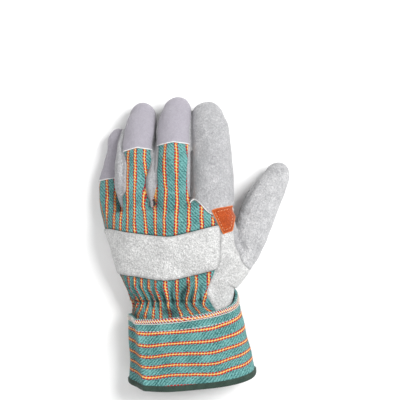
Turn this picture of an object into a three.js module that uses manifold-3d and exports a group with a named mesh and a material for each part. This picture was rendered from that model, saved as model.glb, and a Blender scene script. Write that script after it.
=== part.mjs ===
// A left-hand work glove of split leather and striped cloth, lying palm down, with a safety cuff.
// Millimetres, +Z up, fingers toward +Y, thumb toward +X, on the surface at z = 0.
// The hollow hand is a union of tubes. It is cut into the panels that the glove is sewn from.

import * as THREE from 'three';
import { mergeVertices } from 'three/addons/utils/BufferGeometryUtils.js';
import Module from 'manifold-3d';

const wasm = await Module();
wasm.setup();

// Driving sizes. The hand is measured from its elastic wrist line to the crotches of the fingers.
const HAND_LENGTH = 86;
const HAND_WIDTH = 117;
const HAND_HEIGHT = 49;
const LITTLE_LENGTH = 68;
const LITTLE_WIDTH = 0.214 * HAND_WIDTH;
const RING_LENGTH = 90;
const RING_WIDTH = 0.239 * HAND_WIDTH;
const MIDDLE_LENGTH = 94;
const MIDDLE_WIDTH = 0.269 * HAND_WIDTH;
const INDEX_LENGTH = 89;
const INDEX_WIDTH = 0.299 * HAND_WIDTH;
const THUMB_LENGTH = 103;
const THUMB_WIDTH = 32;
const CUFF_LENGTH = 62;
const CUFF_WIDTH = 0.94 * HAND_WIDTH;
const CUFF_HEIGHT = 46;
const CUFF_LEAN = 7.6;
const CUFF_FLAP = 11;
const CUFF_SAG = 7.5;
const CUFF_END_SAG = 11;
const CUFF_SKEW = 3.3;
const LEATHER = 1.8;
const CLOTH = 1.2;
const CUFF_WALL = 1.4;
const OVERLAY = 1.3;
const BINDING_WIDTH = 5;
const BINDING_WALL = 2.2;
const OVERLOCK_WIDTH = 4.5;
const OVERLOCK_WALL = 2;
const TUCK = 14;
const STRAP_LENGTH = 37;
const PALM_PATCH_LENGTH = 34;
const CROTCH_PATCH_LENGTH = 26;
const CROTCH_PATCH_WIDTH = 23;
const GATHER_COUNT = 11;
const GATHER_DEPTH = 1;
const THUMB_DENT_DEPTH = 1.6;
const CUFF_CREASE_HEIGHT = 1.2;
const CUFF_WAVE_DEPTH = 1.4;
const GAP = 0.3;

// Mesh fineness and the reach of cutters past the glove.
const HAND_SIDES = 44;
const HAND_STEPS = 9;
const FINGER_SIDES = 14;
const FINGER_STEPS = 5;
const CUFF_SIDES = 34;
const CUFF_STEPS = 4;
const TIP_RINGS = 3;
const FINGER_JOIN = 1;
const CAP_REACH = 1.6;
const BINDING_PROUD = 0.4;
const SECTOR_REACH = 2;
const FAR = 300;
const HALF_GAP = GAP / 2;
const TURN = 2 * Math.PI;

// Sections of the hand. along: share of HAND_LENGTH. side, width: shares of HAND_WIDTH.
// rise, height: shares of HAND_HEIGHT. roll: degrees that the thumb side is turned up.
const HAND_ROWS = [
  { along: -0.07, side: 0.01, rise: 0.42, width: 0.765, height: 0.7, roll: 3 },
  { along: 0.0, side: 0.0, rise: 0.42, width: 0.765, height: 0.74, roll: 4 },
  { along: 0.12, side: -0.01, rise: 0.45, width: 0.8, height: 0.84, roll: 5 },
  { along: 0.26, side: -0.03, rise: 0.48, width: 0.87, height: 0.94, roll: 7 },
  { along: 0.45, side: -0.045, rise: 0.575, width: 0.93, height: 0.98, roll: 10 },
  { along: 0.63, side: -0.07, rise: 0.615, width: 0.97, height: 1.0, roll: 12 },
  { along: 0.78, side: -0.09, rise: 0.635, width: 1.0, height: 0.98, roll: 14 },
  { along: 0.9, side: -0.105, rise: 0.64, width: 1.0, height: 0.88, roll: 16 },
];
const HAND_END = { along: 0.99, side: -0.12, rise: 0.6 };

// Sections of the fingers. along: share of the finger's length from the crotch line.
// side: share of HAND_WIDTH. rise: share of HAND_HEIGHT. width, height: shares of the finger's width.
const FINGERS = {
  little: {
    length: LITTLE_LENGTH,
    width: LITTLE_WIDTH,
    rows: [
      { along: -0.32, side: -0.475, rise: 0.39, width: 0.92, height: 0.96 },
      { along: -0.1, side: -0.51, rise: 0.31, width: 1.0, height: 0.98 },
      { along: 0.11, side: -0.524, rise: 0.26, width: 1.0, height: 0.96 },
      { along: 0.37, side: -0.508, rise: 0.245, width: 0.98, height: 0.92 },
      { along: 0.67, side: -0.478, rise: 0.22, width: 0.9, height: 0.86 },
      { along: 0.85, side: -0.486, rise: 0.205, width: 0.78, height: 0.8 },
    ],
    tip: { along: 1, side: -0.474, rise: 0.18 },
    cap: { left: 0.3, middle: 0.33, right: 0.39 },
  },
  ring: {
    length: RING_LENGTH,
    width: RING_WIDTH,
    rows: [
      { along: -0.18, side: -0.323, rise: 0.61, width: 1.0, height: 1.0 },
      { along: 0.04, side: -0.333, rise: 0.66, width: 1.0, height: 0.97 },
      { along: 0.28, side: -0.342, rise: 0.65, width: 1.0, height: 0.95 },
      { along: 0.53, side: -0.331, rise: 0.62, width: 0.98, height: 0.93 },
      { along: 0.74, side: -0.312, rise: 0.43, width: 0.98, height: 0.89 },
      { along: 0.84, side: -0.301, rise: 0.3, width: 0.86, height: 0.82 },
    ],
    tip: { along: 1, side: -0.29, rise: 0.21 },
    cap: { left: 0.48, middle: 0.53, right: 0.51 },
  },
  middle: {
    length: MIDDLE_LENGTH,
    width: MIDDLE_WIDTH,
    rows: [
      { along: -0.17, side: -0.06, rise: 0.775, width: 0.98, height: 0.95 },
      { along: 0.035, side: -0.064, rise: 0.785, width: 1.0, height: 0.95 },
      { along: 0.27, side: -0.068, rise: 0.775, width: 1.0, height: 0.92 },
      { along: 0.5, side: -0.064, rise: 0.715, width: 0.97, height: 0.9 },
      { along: 0.72, side: -0.056, rise: 0.57, width: 0.92, height: 0.86 },
      { along: 0.84, side: -0.038, rise: 0.42, width: 0.83, height: 0.8 },
    ],
    tip: { along: 1, side: -0.02, rise: 0.27 },
    cap: { left: 0.52, middle: 0.555, right: 0.535 },
  },
  index: {
    length: INDEX_LENGTH,
    width: INDEX_WIDTH,
    rows: [
      { along: -0.24, side: 0.226, rise: 0.8, width: 0.95, height: 0.89 },
      { along: -0.01, side: 0.237, rise: 0.83, width: 1.0, height: 0.89 },
      { along: 0.235, side: 0.235, rise: 0.81, width: 0.99, height: 0.86 },
      { along: 0.51, side: 0.226, rise: 0.735, width: 0.96, height: 0.83 },
      { along: 0.75, side: 0.207, rise: 0.58, width: 0.88, height: 0.79 },
      { along: 0.86, side: 0.196, rise: 0.45, width: 0.8, height: 0.72 },
    ],
    tip: { along: 1, side: 0.185, rise: 0.3 },
  },
};

// The thumb starts beside the wrist. along: share of THUMB_LENGTH from THUMB_START of the hand.
const THUMB_START = 0.22;
const THUMB_ROWS = [
  { along: 0.0, side: 0.32, rise: 0.5, width: 0.78, height: 0.98 },
  { along: 0.155, side: 0.405, rise: 0.53, width: 0.9, height: 1.02 },
  { along: 0.34, side: 0.49, rise: 0.53, width: 0.97, height: 1.0 },
  { along: 0.555, side: 0.562, rise: 0.49, width: 1.0, height: 0.91 },
  { along: 0.76, side: 0.656, rise: 0.4, width: 0.86, height: 0.8 },
  { along: 0.88, side: 0.715, rise: 0.31, width: 0.7, height: 0.69 },
];
const THUMB_TIP = { along: 1, side: 0.755, rise: 0.22 };

// Sections of the cuff. along: share of CUFF_LENGTH. width, height: shares of the cuff's.
const CUFF_ROWS = [
  { along: 0.0, width: 0.89, height: 1.0 },
  { along: 0.2, width: 0.905, height: 1.0 },
  { along: 0.45, width: 0.935, height: 1.0 },
  { along: 0.75, width: 0.965, height: 1.0 },
  { along: 1.0, width: 1.0, height: 0.98 },
];
const CUFF_TOP = { side: 0.011, along: -0.047 };

// Where the soft forms lie. along: share of the hand or cuff. reach: share of it, or degrees round it.
const GATHERS = { along: 0.02, reach: 0.13, stray: 0.06 };
const KNUCKLES = { height: 0.9, along: 0.86, reach: 0.1, waves: 7 };
const THUMB_DENT = { along: 0.6, reach: 0.105, angle: 140 };
const CUFF_CREASE = { angle: 28, lean: 14, reach: 9 };
const CUFF_WAVE = { angle: 80, reach: 22, from: 0.5 };
const CUFF_FLAP_PLACE = { angle: 212, narrow: 3, short: 4 };
// The hand's wrist is lifted off the cuff's wall up to here, in mm from the elastic line.
const WRIST_LIFT = { from: 14, to: 24 };
const WRIST_PLAY = 0.2;
// The side seam: its drop below the middle of the hand, and its rise toward the fingers.
const SIDE_SEAM = { drop: 0.12, rise: 0.16, from: 0.78, to: 0.9 };
const LITTLE_SEAM = 200;
// How far the cuff's round form is pressed flat by the surface, as a share of its height.
const CUFF_SINK = 0.03;
// How square each kind of section is: 2 is an ellipse.
const SQUARENESS = { hand: 2.3, finger: 2.15, cuff: 2.5 };

// Half the angle, in degrees, that a finger's back panel spans, from its crotch to its tip.
const BACK_SPAN = [
  { along: -0.25, half: 84 },
  { along: 0.02, half: 82 },
  { along: 0.1, half: 62 },
  { along: 0.3, half: 56 },
  { along: 0.6, half: 66 },
  { along: 1.2, half: 72 },
];

// Seam from cloth to leather down the thumb side of the back. side and along are shares of the hand.
const BACK_EDGE = [
  { side: 0.09, along: 1.04 },
  { side: 0.215, along: 0.885 },
  { side: 0.28, along: 0.7 },
  { side: 0.28, along: 0.5 },
  { side: 0.25, along: 0.3 },
  { side: 0.205, along: 0.16 },
  { side: 0.19, along: 0.09 },
  { side: 0.215, along: 0.0 },
  { side: 0.29, along: -0.16 },
  { side: 0.3, along: -0.5 },
];
// Where the finger pieces start. It dips to the lower edge of the leather index finger.
const FINGER_LINE = [
  { side: -1.5, along: 0.94 },
  { side: 0.09, along: 0.95 },
  { side: 0.215, along: 0.885 },
  { side: 0.41, along: 0.965 },
  { side: 1.5, along: 1.0 },
];
// Seam round the thumb, seen from above.
const THUMB_EDGE = [
  { side: 0.415, along: 3.5 },
  { side: 0.415, along: 0.96 },
  { side: 0.385, along: 0.76 },
  { side: 0.39, along: 0.63 },
  { side: 0.42, along: 0.5 },
  { side: 0.46, along: 0.38 },
  { side: 0.6, along: 0.2 },
  { side: 0.6, along: -3.5 },
];
// Knuckle strap: its edge nearer the fingers, and how far its end reaches at the thumb side.
const STRAP_EDGE = [
  { side: -1.0, along: 0.74 },
  { side: -0.582, along: 0.745 },
  { side: -0.394, along: 0.7 },
  { side: -0.105, along: 0.655 },
  { side: 0.01, along: 0.68 },
  { side: 0.143, along: 0.725 },
  { side: 0.265, along: 0.765 },
];
const PALM_PATCH_TOP = 0.86;
const PALM_PATCH_EDGE = [
  { side: -0.6, drop: 1.0 },
  { side: -0.1, drop: 1.0 },
  { side: 0.12, drop: 0.95 },
  { side: 0.25, drop: 0.75 },
  { side: 0.33, drop: 0.35 },
  { side: 0.37, drop: 0.0 },
];
const CROTCH_PATCH = [
  { side: -0.48, along: 0.27 },
  { side: 0.465, along: 0.5 },
  { side: 0.365, along: 0.09 },
  { side: 0.29, along: -0.37 },
  { side: -0.055, along: -0.5 },
];
const CROTCH_PATCH_PLACE = { side: 0.312, along: 0.831 };

const radians = THREE.MathUtils.degToRad;
const quarter = Math.PI / 2;
const handX = (share) => share * HAND_WIDTH;
const handY = (share) => share * HAND_LENGTH;

function smoothstep(value, low, high) {
  return THREE.MathUtils.smoothstep(value, low, high);
}

// What the hand rests on: the surface, or inside the cuff the cuff's own wall.
function restHeight(y, offset) {
  const insideCuff = 1 - smoothstep(y, WRIST_LIFT.from, WRIST_LIFT.to);
  return Math.max(0, -offset) + insideCuff * (Math.max(CUFF_WALL, OVERLOCK_WALL) + GAP);
}

// One in the middle and fading out on both sides, at the pace of reach.
function fade(distance, reach) {
  return Math.exp(-((distance / reach) ** 2));
}

function bump(along, place) {
  return fade(along - place.along, place.reach);
}

// Heights added along the surface normal: what the glove shows as gathers, dents and folds.
function handRelief(angle, y) {
  const back = Math.max(0, Math.sin(angle));
  const gather = bump(y / HAND_LENGTH, GATHERS);
  const ripple = Math.cos(GATHER_COUNT * (angle + GATHERS.stray * Math.sin(5 * angle)));
  const valleys = Math.cos((angle - quarter) * KNUCKLES.waves) * KNUCKLES.height;
  return back * (gather * GATHER_DEPTH * ripple + bump(y / HAND_LENGTH, KNUCKLES) * valleys);
}

function thumbRelief(angle, y) {
  const inner = Math.max(0, Math.cos(angle - radians(THUMB_DENT.angle)));
  return -THUMB_DENT_DEPTH * inner ** 2 * bump(y / HAND_LENGTH, THUMB_DENT);
}

function cuffRelief(angle, share) {
  const degrees = THREE.MathUtils.radToDeg(angle);
  const ridge = fade(degrees - CUFF_CREASE.angle - CUFF_CREASE.lean * share, CUFF_CREASE.reach);
  const wave = fade(degrees - CUFF_WAVE.angle, CUFF_WAVE.reach) * smoothstep(share, CUFF_WAVE.from, 1);
  return CUFF_CREASE_HEIGHT * ridge - CUFF_WAVE_DEPTH * wave;
}

// A value of a table between its rows, eased through them.
function rowAt(rows, along) {
  const last = rows.length - 1;
  let low = 0;
  while (low < last - 1 && along > rows[low + 1].along) {
    low += 1;
  }
  const [a, b] = [rows[low], rows[low + 1]];
  const before = rows[Math.max(low - 1, 0)];
  const after = rows[Math.min(low + 2, last)];
  const span = b.along - a.along;
  const t = THREE.MathUtils.clamp((along - a.along) / span, 0, 1);
  const row = {};
  for (const key of Object.keys(a)) {
    const leave = (b[key] - before[key]) * (span / (b.along - before.along));
    const reach = (after[key] - a[key]) * (span / (after.along - a.along));
    row[key] = a[key] * (1 + 2 * t) * (1 - t) ** 2 + leave * t * (1 - t) ** 2
      + b[key] * t * t * (3 - 2 * t) - reach * t * t * (1 - t);
  }
  row.along = along;
  return row;
}

function superellipse(angle, power) {
  const across = Math.sign(Math.cos(angle)) * Math.abs(Math.cos(angle)) ** (2 / power);
  const over = Math.sign(Math.sin(angle)) * Math.abs(Math.sin(angle)) ** (2 / power);
  return [across, over];
}

// One ring of a tube. Its angle 0 lies to the right of the way ahead, and a quarter turn is up.
function sampleRing({ centre, ahead, width, height, roll, power, sides }) {
  const side = new THREE.Vector3().crossVectors(ahead, new THREE.Vector3(0, 0, 1)).normalize();
  const up = new THREE.Vector3().crossVectors(side, ahead).normalize();
  return Array.from({ length: sides }, (_, i) => {
    const [across, over] = superellipse((i / sides) * TURN, power);
    const x = (across * width * Math.cos(roll) - over * height * Math.sin(roll)) / 2;
    const z = (across * width * Math.sin(roll) + over * height * Math.cos(roll)) / 2;
    return centre.clone().addScaledVector(side, x).addScaledVector(up, z);
  });
}

// A tube is kept as rings of points with its spine, so that it can be built at any offset.
function makeTube(form) {
  const { rows, centreOf, aheadOf, unit, rise, tip, sides, power, steps, from, to, slide } = form;
  const rings = [];
  const spine = [];
  const small = (to - from) / 200;
  const place = (station) => {
    spine.push(station);
    const ring = sampleRing({ ...station, power, sides });
    if (slide) {
      ring.forEach((point, i) => {
        point.addScaledVector(station.ahead, slide((i / sides) * TURN, station.along));
      });
    }
    rings.push(ring);
  };
  for (let i = 0; i <= steps; i += 1) {
    const along = THREE.MathUtils.lerp(from, to, i / steps);
    const row = rowAt(rows, along);
    const low = centreOf(rowAt(rows, Math.max(along - small, from)));
    const high = centreOf(rowAt(rows, Math.min(along + small, to)));
    place({
      along,
      centre: centreOf(row),
      ahead: aheadOf ? aheadOf(row) : high.sub(low).normalize(),
      width: row.width * unit,
      height: row.height * rise,
      roll: radians(row.roll ?? 0),
    });
  }
  if (tip) {
    const last = spine[spine.length - 1];
    const outward = tip.clone().sub(last.centre).normalize();
    for (let i = 1; i < TIP_RINGS; i += 1) {
      const bend = (i / TIP_RINGS) * quarter;
      place({
        along: last.along,
        centre: last.centre.clone().lerp(tip, Math.sin(bend)),
        ahead: last.ahead.clone().lerp(outward, i / TIP_RINGS).normalize(),
        width: last.width * Math.cos(bend),
        height: last.height * Math.cos(bend),
        roll: last.roll,
      });
    }
  }
  return { rings, spine, tip, sides, relief: form.relief ?? (() => 0) };
}

function ringNormal({ rings, sides, tip }, row, column) {
  const ring = rings[row];
  const before = rings[Math.max(row - 1, 0)][column];
  const after = row + 1 < rings.length ? rings[row + 1][column] : tip ?? ring[column];
  const round = ring[(column + 1) % sides].clone().sub(ring[(column + sides - 1) % sides]);
  return round.cross(after.clone().sub(before)).negate().normalize();
}

// The outer face of the tube at any angle, moved out by offset.
function facePoint(tube, row, angle, offset) {
  const spot = ((angle / TURN) * tube.sides + tube.sides * 4) % tube.sides;
  const low = Math.floor(spot);
  const pair = [low, (low + 1) % tube.sides].map((column) => {
    const point = tube.rings[row][column].clone();
    const lift = tube.relief((column / tube.sides) * TURN, point.y, tube.spine[row].along);
    return point.addScaledVector(ringNormal(tube, row, column), offset + lift);
  });
  return pair[0].lerp(pair[1], spot - low);
}

function geometryToManifold(geometry) {
  const bare = geometry.clone();
  bare.deleteAttribute('normal');
  bare.deleteAttribute('uv');
  const merged = mergeVertices(bare, 1e-5);
  return new wasm.Manifold(new wasm.Mesh({
    numProp: 3,
    vertProperties: new Float32Array(merged.attributes.position.array),
    triVerts: new Uint32Array(merged.index.array),
  }));
}

function middleOf(points) {
  const sum = new THREE.Vector3();
  points.forEach((point) => sum.add(point));
  return sum.divideScalar(points.length);
}

function meshToManifold(points, faces) {
  const geometry = new THREE.BufferGeometry();
  const places = points.flatMap((point) => point.toArray());
  geometry.setAttribute('position', new THREE.Float32BufferAttribute(places, 3));
  geometry.setIndex(faces);
  return geometryToManifold(geometry);
}

// The two triangles between a pair of neighbours in one ring and the same pair in the next.
function panelFaces(first, second, column, next) {
  return [first + column, second + next, first + next, first + column, second + column, second + next];
}

// Closes a stack of rings into a solid, fanned to one point at each end.
function closeRings(rings, start = middleOf(rings[0]), end = middleOf(rings[rings.length - 1])) {
  const sides = rings[0].length;
  const startIndex = rings.length * sides;
  const lastRow = startIndex - sides;
  const faces = rings[0].flatMap((_, column) => {
    const next = (column + 1) % sides;
    const wall = rings.slice(1).flatMap((__, row) => (
      panelFaces(row * sides, (row + 1) * sides, column, next)
    ));
    return [...wall, startIndex, column, next, startIndex + 1, lastRow + next, lastRow + column];
  });
  return meshToManifold([...rings.flat(), start, end], faces);
}

// Rings that follow one another round a closed loop, as the faces of a band do.
function loopSolid(rings) {
  const sides = rings[0].length;
  const faces = rings.flatMap((ring, row) => ring.flatMap((_, column) => (
    panelFaces(row * sides, ((row + 1) % rings.length) * sides, column, (column + 1) % sides)
  )));
  return meshToManifold(rings.flat(), faces);
}

// The tube as a solid at an offset from its outer face, run on before its start by stretch.
function tubeSolid(tube, offset, stretch = 0) {
  const { rings, spine, sides, tip } = tube;
  const settle = (point) => point.setZ(Math.max(point.z, restHeight(point.y, offset)));
  const moved = rings.map((ring, row) => ring.map(
    (_, column) => settle(facePoint(tube, row, (column / sides) * TURN, offset)),
  ));
  if (stretch) {
    moved.unshift(moved[0].map((point) => point.clone().addScaledVector(spine[0].ahead, -stretch)));
  }
  const end = settle(tip.clone().addScaledVector(spine[spine.length - 1].ahead, offset));
  return closeRings(moved, middleOf(moved[0]), end);
}

function joinAll(solids) {
  return solids.reduce((sum, solid) => sum.add(solid));
}

// Walls between two offsets. The first tube is open at its start, and the others open into it.
function shellOf(tubes, outer, inner, opening) {
  const whole = tubes.map((tube) => tubeSolid(tube, outer));
  const hollow = tubes.map((tube, i) => tubeSolid(tube, inner, i === 0 ? opening : 0));
  return joinAll(whole).subtract(joinAll(hollow));
}

// A cutter for the part of a tube between two angles, which are functions of the station.
function sectorSolid(tube, from, to, inset) {
  const steps = FINGER_SIDES;
  const stack = tube.rings.map((_, row) => {
    const station = tube.spine[row];
    const slack = inset / Math.max(station.width / 2, 1);
    const start = from(station) + slack;
    const end = to(station) - slack;
    const arc = Array.from({ length: steps + 1 }, (__, i) => (
      facePoint(tube, row, THREE.MathUtils.lerp(start, end, i / steps), SECTOR_REACH)
    ));
    return [station.centre.clone(), ...arc];
  });
  const last = tube.spine[tube.spine.length - 1];
  const end = tube.tip.clone().addScaledVector(last.ahead, SECTOR_REACH);
  return closeRings(stack, undefined, end);
}

// Upright cutter over an outline seen from above.
function prism(outline) {
  const shape = new THREE.Shape(outline.map(({ x, y }) => new THREE.Vector2(x, y)));
  const geometry = new THREE.ExtrudeGeometry(shape, { depth: 2 * FAR, bevelEnabled: false });
  geometry.translate(0, 0, -FAR);
  return geometryToManifold(geometry);
}

// An edge seen from above, moved to its left by distance, as its points are followed.
function shiftEdge(points, distance) {
  return points.map((point, i) => {
    const before = points[Math.max(i - 1, 0)];
    const after = points[Math.min(i + 1, points.length - 1)];
    const length = Math.hypot(after.x - before.x, after.y - before.y);
    return {
      x: point.x - ((after.y - before.y) / length) * distance,
      y: point.y + ((after.x - before.x) / length) * distance,
    };
  });
}

const onHand = (rows) => rows.map(({ side, along }) => ({ x: handX(side), y: handY(along) }));
const corner = (x, y) => ({ x: x * FAR, y: y * FAR });

// All that lies on the side of an edge where the far corners are.
function sideOf(points, inset, corners) {
  return prism([...shiftEdge(points, inset), ...corners]);
}

// Cuff
const cuffAxis = new THREE.Vector3(Math.sin(radians(CUFF_LEAN)), -Math.cos(radians(CUFF_LEAN)), 0);
const cuffTop = new THREE.Vector3(handX(CUFF_TOP.side), handY(CUFF_TOP.along), 0);
const cuffRest = CUFF_SINK * CUFF_HEIGHT;

function cuffCentre(row) {
  return cuffTop.clone().addScaledVector(cuffAxis, row.along * CUFF_LENGTH)
    .setZ((row.height * CUFF_HEIGHT) / 2 - cuffRest);
}

// The cuff's top edge runs further up the hand at the thumb side. Its back hangs lower than its sides, and
// its end turns a little less than the cuff leans.
function cuffSlide(angle, share) {
  const { angle: place, narrow, short } = CUFF_FLAP_PLACE;
  const flap = CUFF_FLAP * Math.max(0, Math.cos(angle - radians(place))) ** narrow * (1 - share) ** short;
  const sag = (CUFF_SAG + (CUFF_END_SAG - CUFF_SAG) * share) * Math.max(0, Math.sin(angle));
  return sag - flap - CUFF_SKEW * share * Math.cos(angle);
}

function cuffTube(from, to, steps) {
  return makeTube({
    rows: CUFF_ROWS,
    centreOf: cuffCentre,
    aheadOf: () => cuffAxis,
    unit: CUFF_WIDTH,
    rise: CUFF_HEIGHT,
    sides: CUFF_SIDES,
    power: SQUARENESS.cuff,
    steps,
    from,
    to,
    slide: cuffSlide,
    relief: (angle, y, share) => cuffRelief(angle, share),
  });
}

// A closed band: the outer and inner faces of a stretch of the cuff, joined at both edges.
function cuffRing(from, to, steps, outer, inner) {
  const tube = cuffTube(from, to, steps);
  const face = (row, offset) => tube.rings[row].map((_, column) => {
    const point = facePoint(tube, row, (column / CUFF_SIDES) * TURN, offset);
    return point.setZ(Math.max(point.z, Math.max(0, -offset)));
  });
  const rows = tube.rings.map((_, row) => row);
  const loop = [...rows.map((row) => face(row, outer)), ...rows.reverse().map((row) => face(row, inner))];
  return loopSolid(loop);
}

// Hand and fingers. The hand's tube starts where the cuff holds it, and ends at the finger crotches.
const tuckAlong = TUCK / CUFF_LENGTH;
const tuckSection = rowAt(CUFF_ROWS, tuckAlong);
const tuckCentre = cuffCentre(tuckSection);
const tuckSlack = 2 * (CUFF_WALL + GAP + WRIST_PLAY);
const tuckRow = {
  along: tuckCentre.y / HAND_LENGTH,
  side: tuckCentre.x / HAND_WIDTH,
  rise: tuckCentre.z / HAND_HEIGHT,
  width: (tuckSection.width * CUFF_WIDTH - tuckSlack) / HAND_WIDTH,
  height: (tuckSection.height * CUFF_HEIGHT - tuckSlack) / HAND_HEIGHT,
  roll: 0,
  lean: CUFF_LEAN,
};
const handRows = [tuckRow, ...HAND_ROWS.map((row) => ({ lean: 0, ...row }))];

function handPoint({ side, along, rise }) {
  return new THREE.Vector3(handX(side), handY(along), rise * HAND_HEIGHT);
}

const hand = makeTube({
  rows: handRows,
  centreOf: handPoint,
  aheadOf: ({ lean }) => new THREE.Vector3(-Math.sin(radians(lean)), Math.cos(radians(lean)), 0),
  unit: HAND_WIDTH,
  rise: HAND_HEIGHT,
  tip: handPoint(HAND_END),
  sides: HAND_SIDES,
  power: SQUARENESS.hand,
  steps: HAND_STEPS,
  from: tuckRow.along,
  to: HAND_ROWS[HAND_ROWS.length - 1].along,
  relief: handRelief,
});

function fingerTube({ length, width, rows, tip }) {
  const centreOf = ({ side, along, rise }) => (
    new THREE.Vector3(handX(side), HAND_LENGTH + along * length, rise * HAND_HEIGHT)
  );
  return makeTube({
    rows,
    centreOf,
    unit: width,
    rise: width,
    tip: centreOf(tip),
    sides: FINGER_SIDES,
    power: SQUARENESS.finger,
    steps: FINGER_STEPS,
    from: rows[0].along,
    to: rows[rows.length - 1].along,
  });
}

const thumbCentre = ({ side, along, rise }) => new THREE.Vector3(
  handX(side),
  handY(THUMB_START) + along * THUMB_LENGTH,
  rise * HAND_HEIGHT,
);
const thumb = makeTube({
  rows: THUMB_ROWS,
  centreOf: thumbCentre,
  unit: THUMB_WIDTH,
  rise: THUMB_WIDTH,
  tip: thumbCentre(THUMB_TIP),
  sides: FINGER_SIDES,
  power: SQUARENESS.finger,
  steps: FINGER_STEPS + 1,
  from: 0,
  to: THUMB_ROWS[THUMB_ROWS.length - 1].along,
  relief: thumbRelief,
});

const names = ['little', 'ring', 'middle', 'index'];
const fingers = Object.fromEntries(names.map((name) => [name, fingerTube(FINGERS[name])]));
const tubes = [hand, ...Object.values(fingers), thumb];
const leatherShell = shellOf(tubes, 0, -LEATHER, TUCK);
const clothShell = shellOf(tubes, 0, -CLOTH, TUCK);
const overlayShell = shellOf([hand, fingers.little, fingers.index, thumb], GAP + OVERLAY, GAP, TUCK);

function fingerShell(name, wall) {
  return shellOf([fingers[name]], 0, -wall, wall);
}

// Above the seam along the hand's side: it follows the roll of each section and rises to the fingers.
function aboveHand(inset) {
  const stations = [hand.spine[0], ...hand.spine, hand.spine[hand.spine.length - 1]];
  return closeRings(stations.map(({ centre, roll, height }, i) => {
    const y = i === 0 ? -FAR : i === stations.length - 1 ? FAR : centre.y;
    const toFingers = smoothstep(centre.y, handY(SIDE_SEAM.from), handY(SIDE_SEAM.to));
    const level = centre.z - SIDE_SEAM.drop * height + SIDE_SEAM.rise * HAND_HEIGHT * toFingers + inset;
    const slope = Math.tan(roll) * FAR;
    return [
      new THREE.Vector3(centre.x - FAR, y, level - slope),
      new THREE.Vector3(centre.x + FAR, y, level + slope),
      new THREE.Vector3(centre.x + FAR, y, FAR),
      new THREE.Vector3(centre.x - FAR, y, FAR),
    ];
  }));
}

function backHalf(station, length) {
  const along = (station.centre.y - HAND_LENGTH) / length;
  return radians(rowAt(BACK_SPAN, THREE.MathUtils.clamp(along, BACK_SPAN[0].along, 1)).half);
}

const littleSeam = radians(LITTLE_SEAM);

// The angles, one for each station, between which a finger's back panel lies.
function backSides(name) {
  const { length } = FINGERS[name];
  const from = (station) => quarter - backHalf(station, length);
  const to = name === 'little' ? () => littleSeam : (station) => quarter + backHalf(station, length);
  return { from, to };
}

function backSector(name, inset) {
  const { from, to } = backSides(name);
  return sectorSolid(fingers[name], from, to, inset);
}

const fingerLine = onHand(FINGER_LINE);
const fingerZone = sideOf(fingerLine, HALF_GAP, [corner(1, 1), corner(-1, 1)]);
const handZone = sideOf(fingerLine, -HALF_GAP, [corner(1, -1), corner(-1, -1)]);
const fingerZoneJoined = sideOf(fingerLine, -FINGER_JOIN, [corner(1, 1), corner(-1, 1)]);
const thumbEdge = onHand(THUMB_EDGE);
const thumbZone = sideOf(thumbEdge, HALF_GAP, [corner(1, -1), corner(1, 1)]);
const notThumb = sideOf(thumbEdge, -HALF_GAP, [corner(-1, -1), corner(-1, 1)]);
const backEdge = onHand(BACK_EDGE);
const backZone = sideOf(backEdge, -HALF_GAP, [corner(-1, -1), corner(-1, 1)]);

function capLine(name, inset) {
  const { length, cap } = FINGERS[name];
  const station = rowAt(FINGERS[name].rows, cap.middle);
  const half = (station.width * FINGERS[name].width) / 2;
  const x = handX(station.side);
  const edge = [[-CAP_REACH, cap.left], [0, cap.middle], [CAP_REACH, cap.right]];
  return edge.map(([across, along]) => ({ x: x + across * half, y: HAND_LENGTH + along * length + inset }));
}

function beyondCapLine(name, inset) {
  return prism([...capLine(name, inset), corner(1, 1), corner(-1, 1)]);
}

function beforeCapLine(name, inset) {
  return prism([...capLine(name, inset), corner(1, -1), corner(-1, -1)]);
}

const capped = ['little', 'ring', 'middle'];

function backFabric() {
  const palmPart = aboveHand(HALF_GAP).intersect(handZone.intersect(backZone).intersect(notThumb));
  const fingerParts = capped.map((name) => fingerShell(name, CLOTH)
    .intersect(backSector(name, HALF_GAP))
    .intersect(fingerZoneJoined)
    .intersect(beforeCapLine(name, -HALF_GAP)));
  return joinAll([clothShell.intersect(palmPart), ...fingerParts]);
}

function palmLeather() {
  const back = aboveHand(-HALF_GAP).intersect(sideOf(backEdge, HALF_GAP, [corner(-1, -1), corner(-1, 1)]));
  const joined = sideOf(fingerLine, -FINGER_JOIN - GAP, [corner(1, 1), corner(-1, 1)]);
  const fingerBacks = joinAll(capped.map((name) => backSector(name, -HALF_GAP))).intersect(joined);
  return leatherShell.intersect(handZone).intersect(notThumb).subtract(back).subtract(fingerBacks);
}

const strapEdge = onHand(STRAP_EDGE);
function knuckleStrap() {
  const low = [...strapEdge].reverse().map(({ x, y }) => ({ x, y: y - STRAP_LENGTH }));
  return overlayShell.intersect(aboveHand(HALF_GAP)).intersect(prism([...strapEdge, ...low]));
}

const crotchPatchCentre = { x: handX(CROTCH_PATCH_PLACE.side), y: handY(CROTCH_PATCH_PLACE.along) };
function crotchPatch() {
  const outline = CROTCH_PATCH.map(({ side, along }) => ({
    x: crotchPatchCentre.x + side * CROTCH_PATCH_WIDTH,
    y: crotchPatchCentre.y + along * CROTCH_PATCH_LENGTH,
  }));
  return overlayShell.intersect(aboveHand(HALF_GAP)).intersect(prism(outline));
}

function palmPatch() {
  const top = handY(PALM_PATCH_TOP);
  const edge = PALM_PATCH_EDGE.map(({ side, drop }) => ({
    x: handX(side),
    y: top - drop * PALM_PATCH_LENGTH,
  }));
  const below = prism([...edge, { x: edge[0].x, y: top }]).subtract(aboveHand(-GAP));
  return overlayShell.intersect(below);
}

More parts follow.
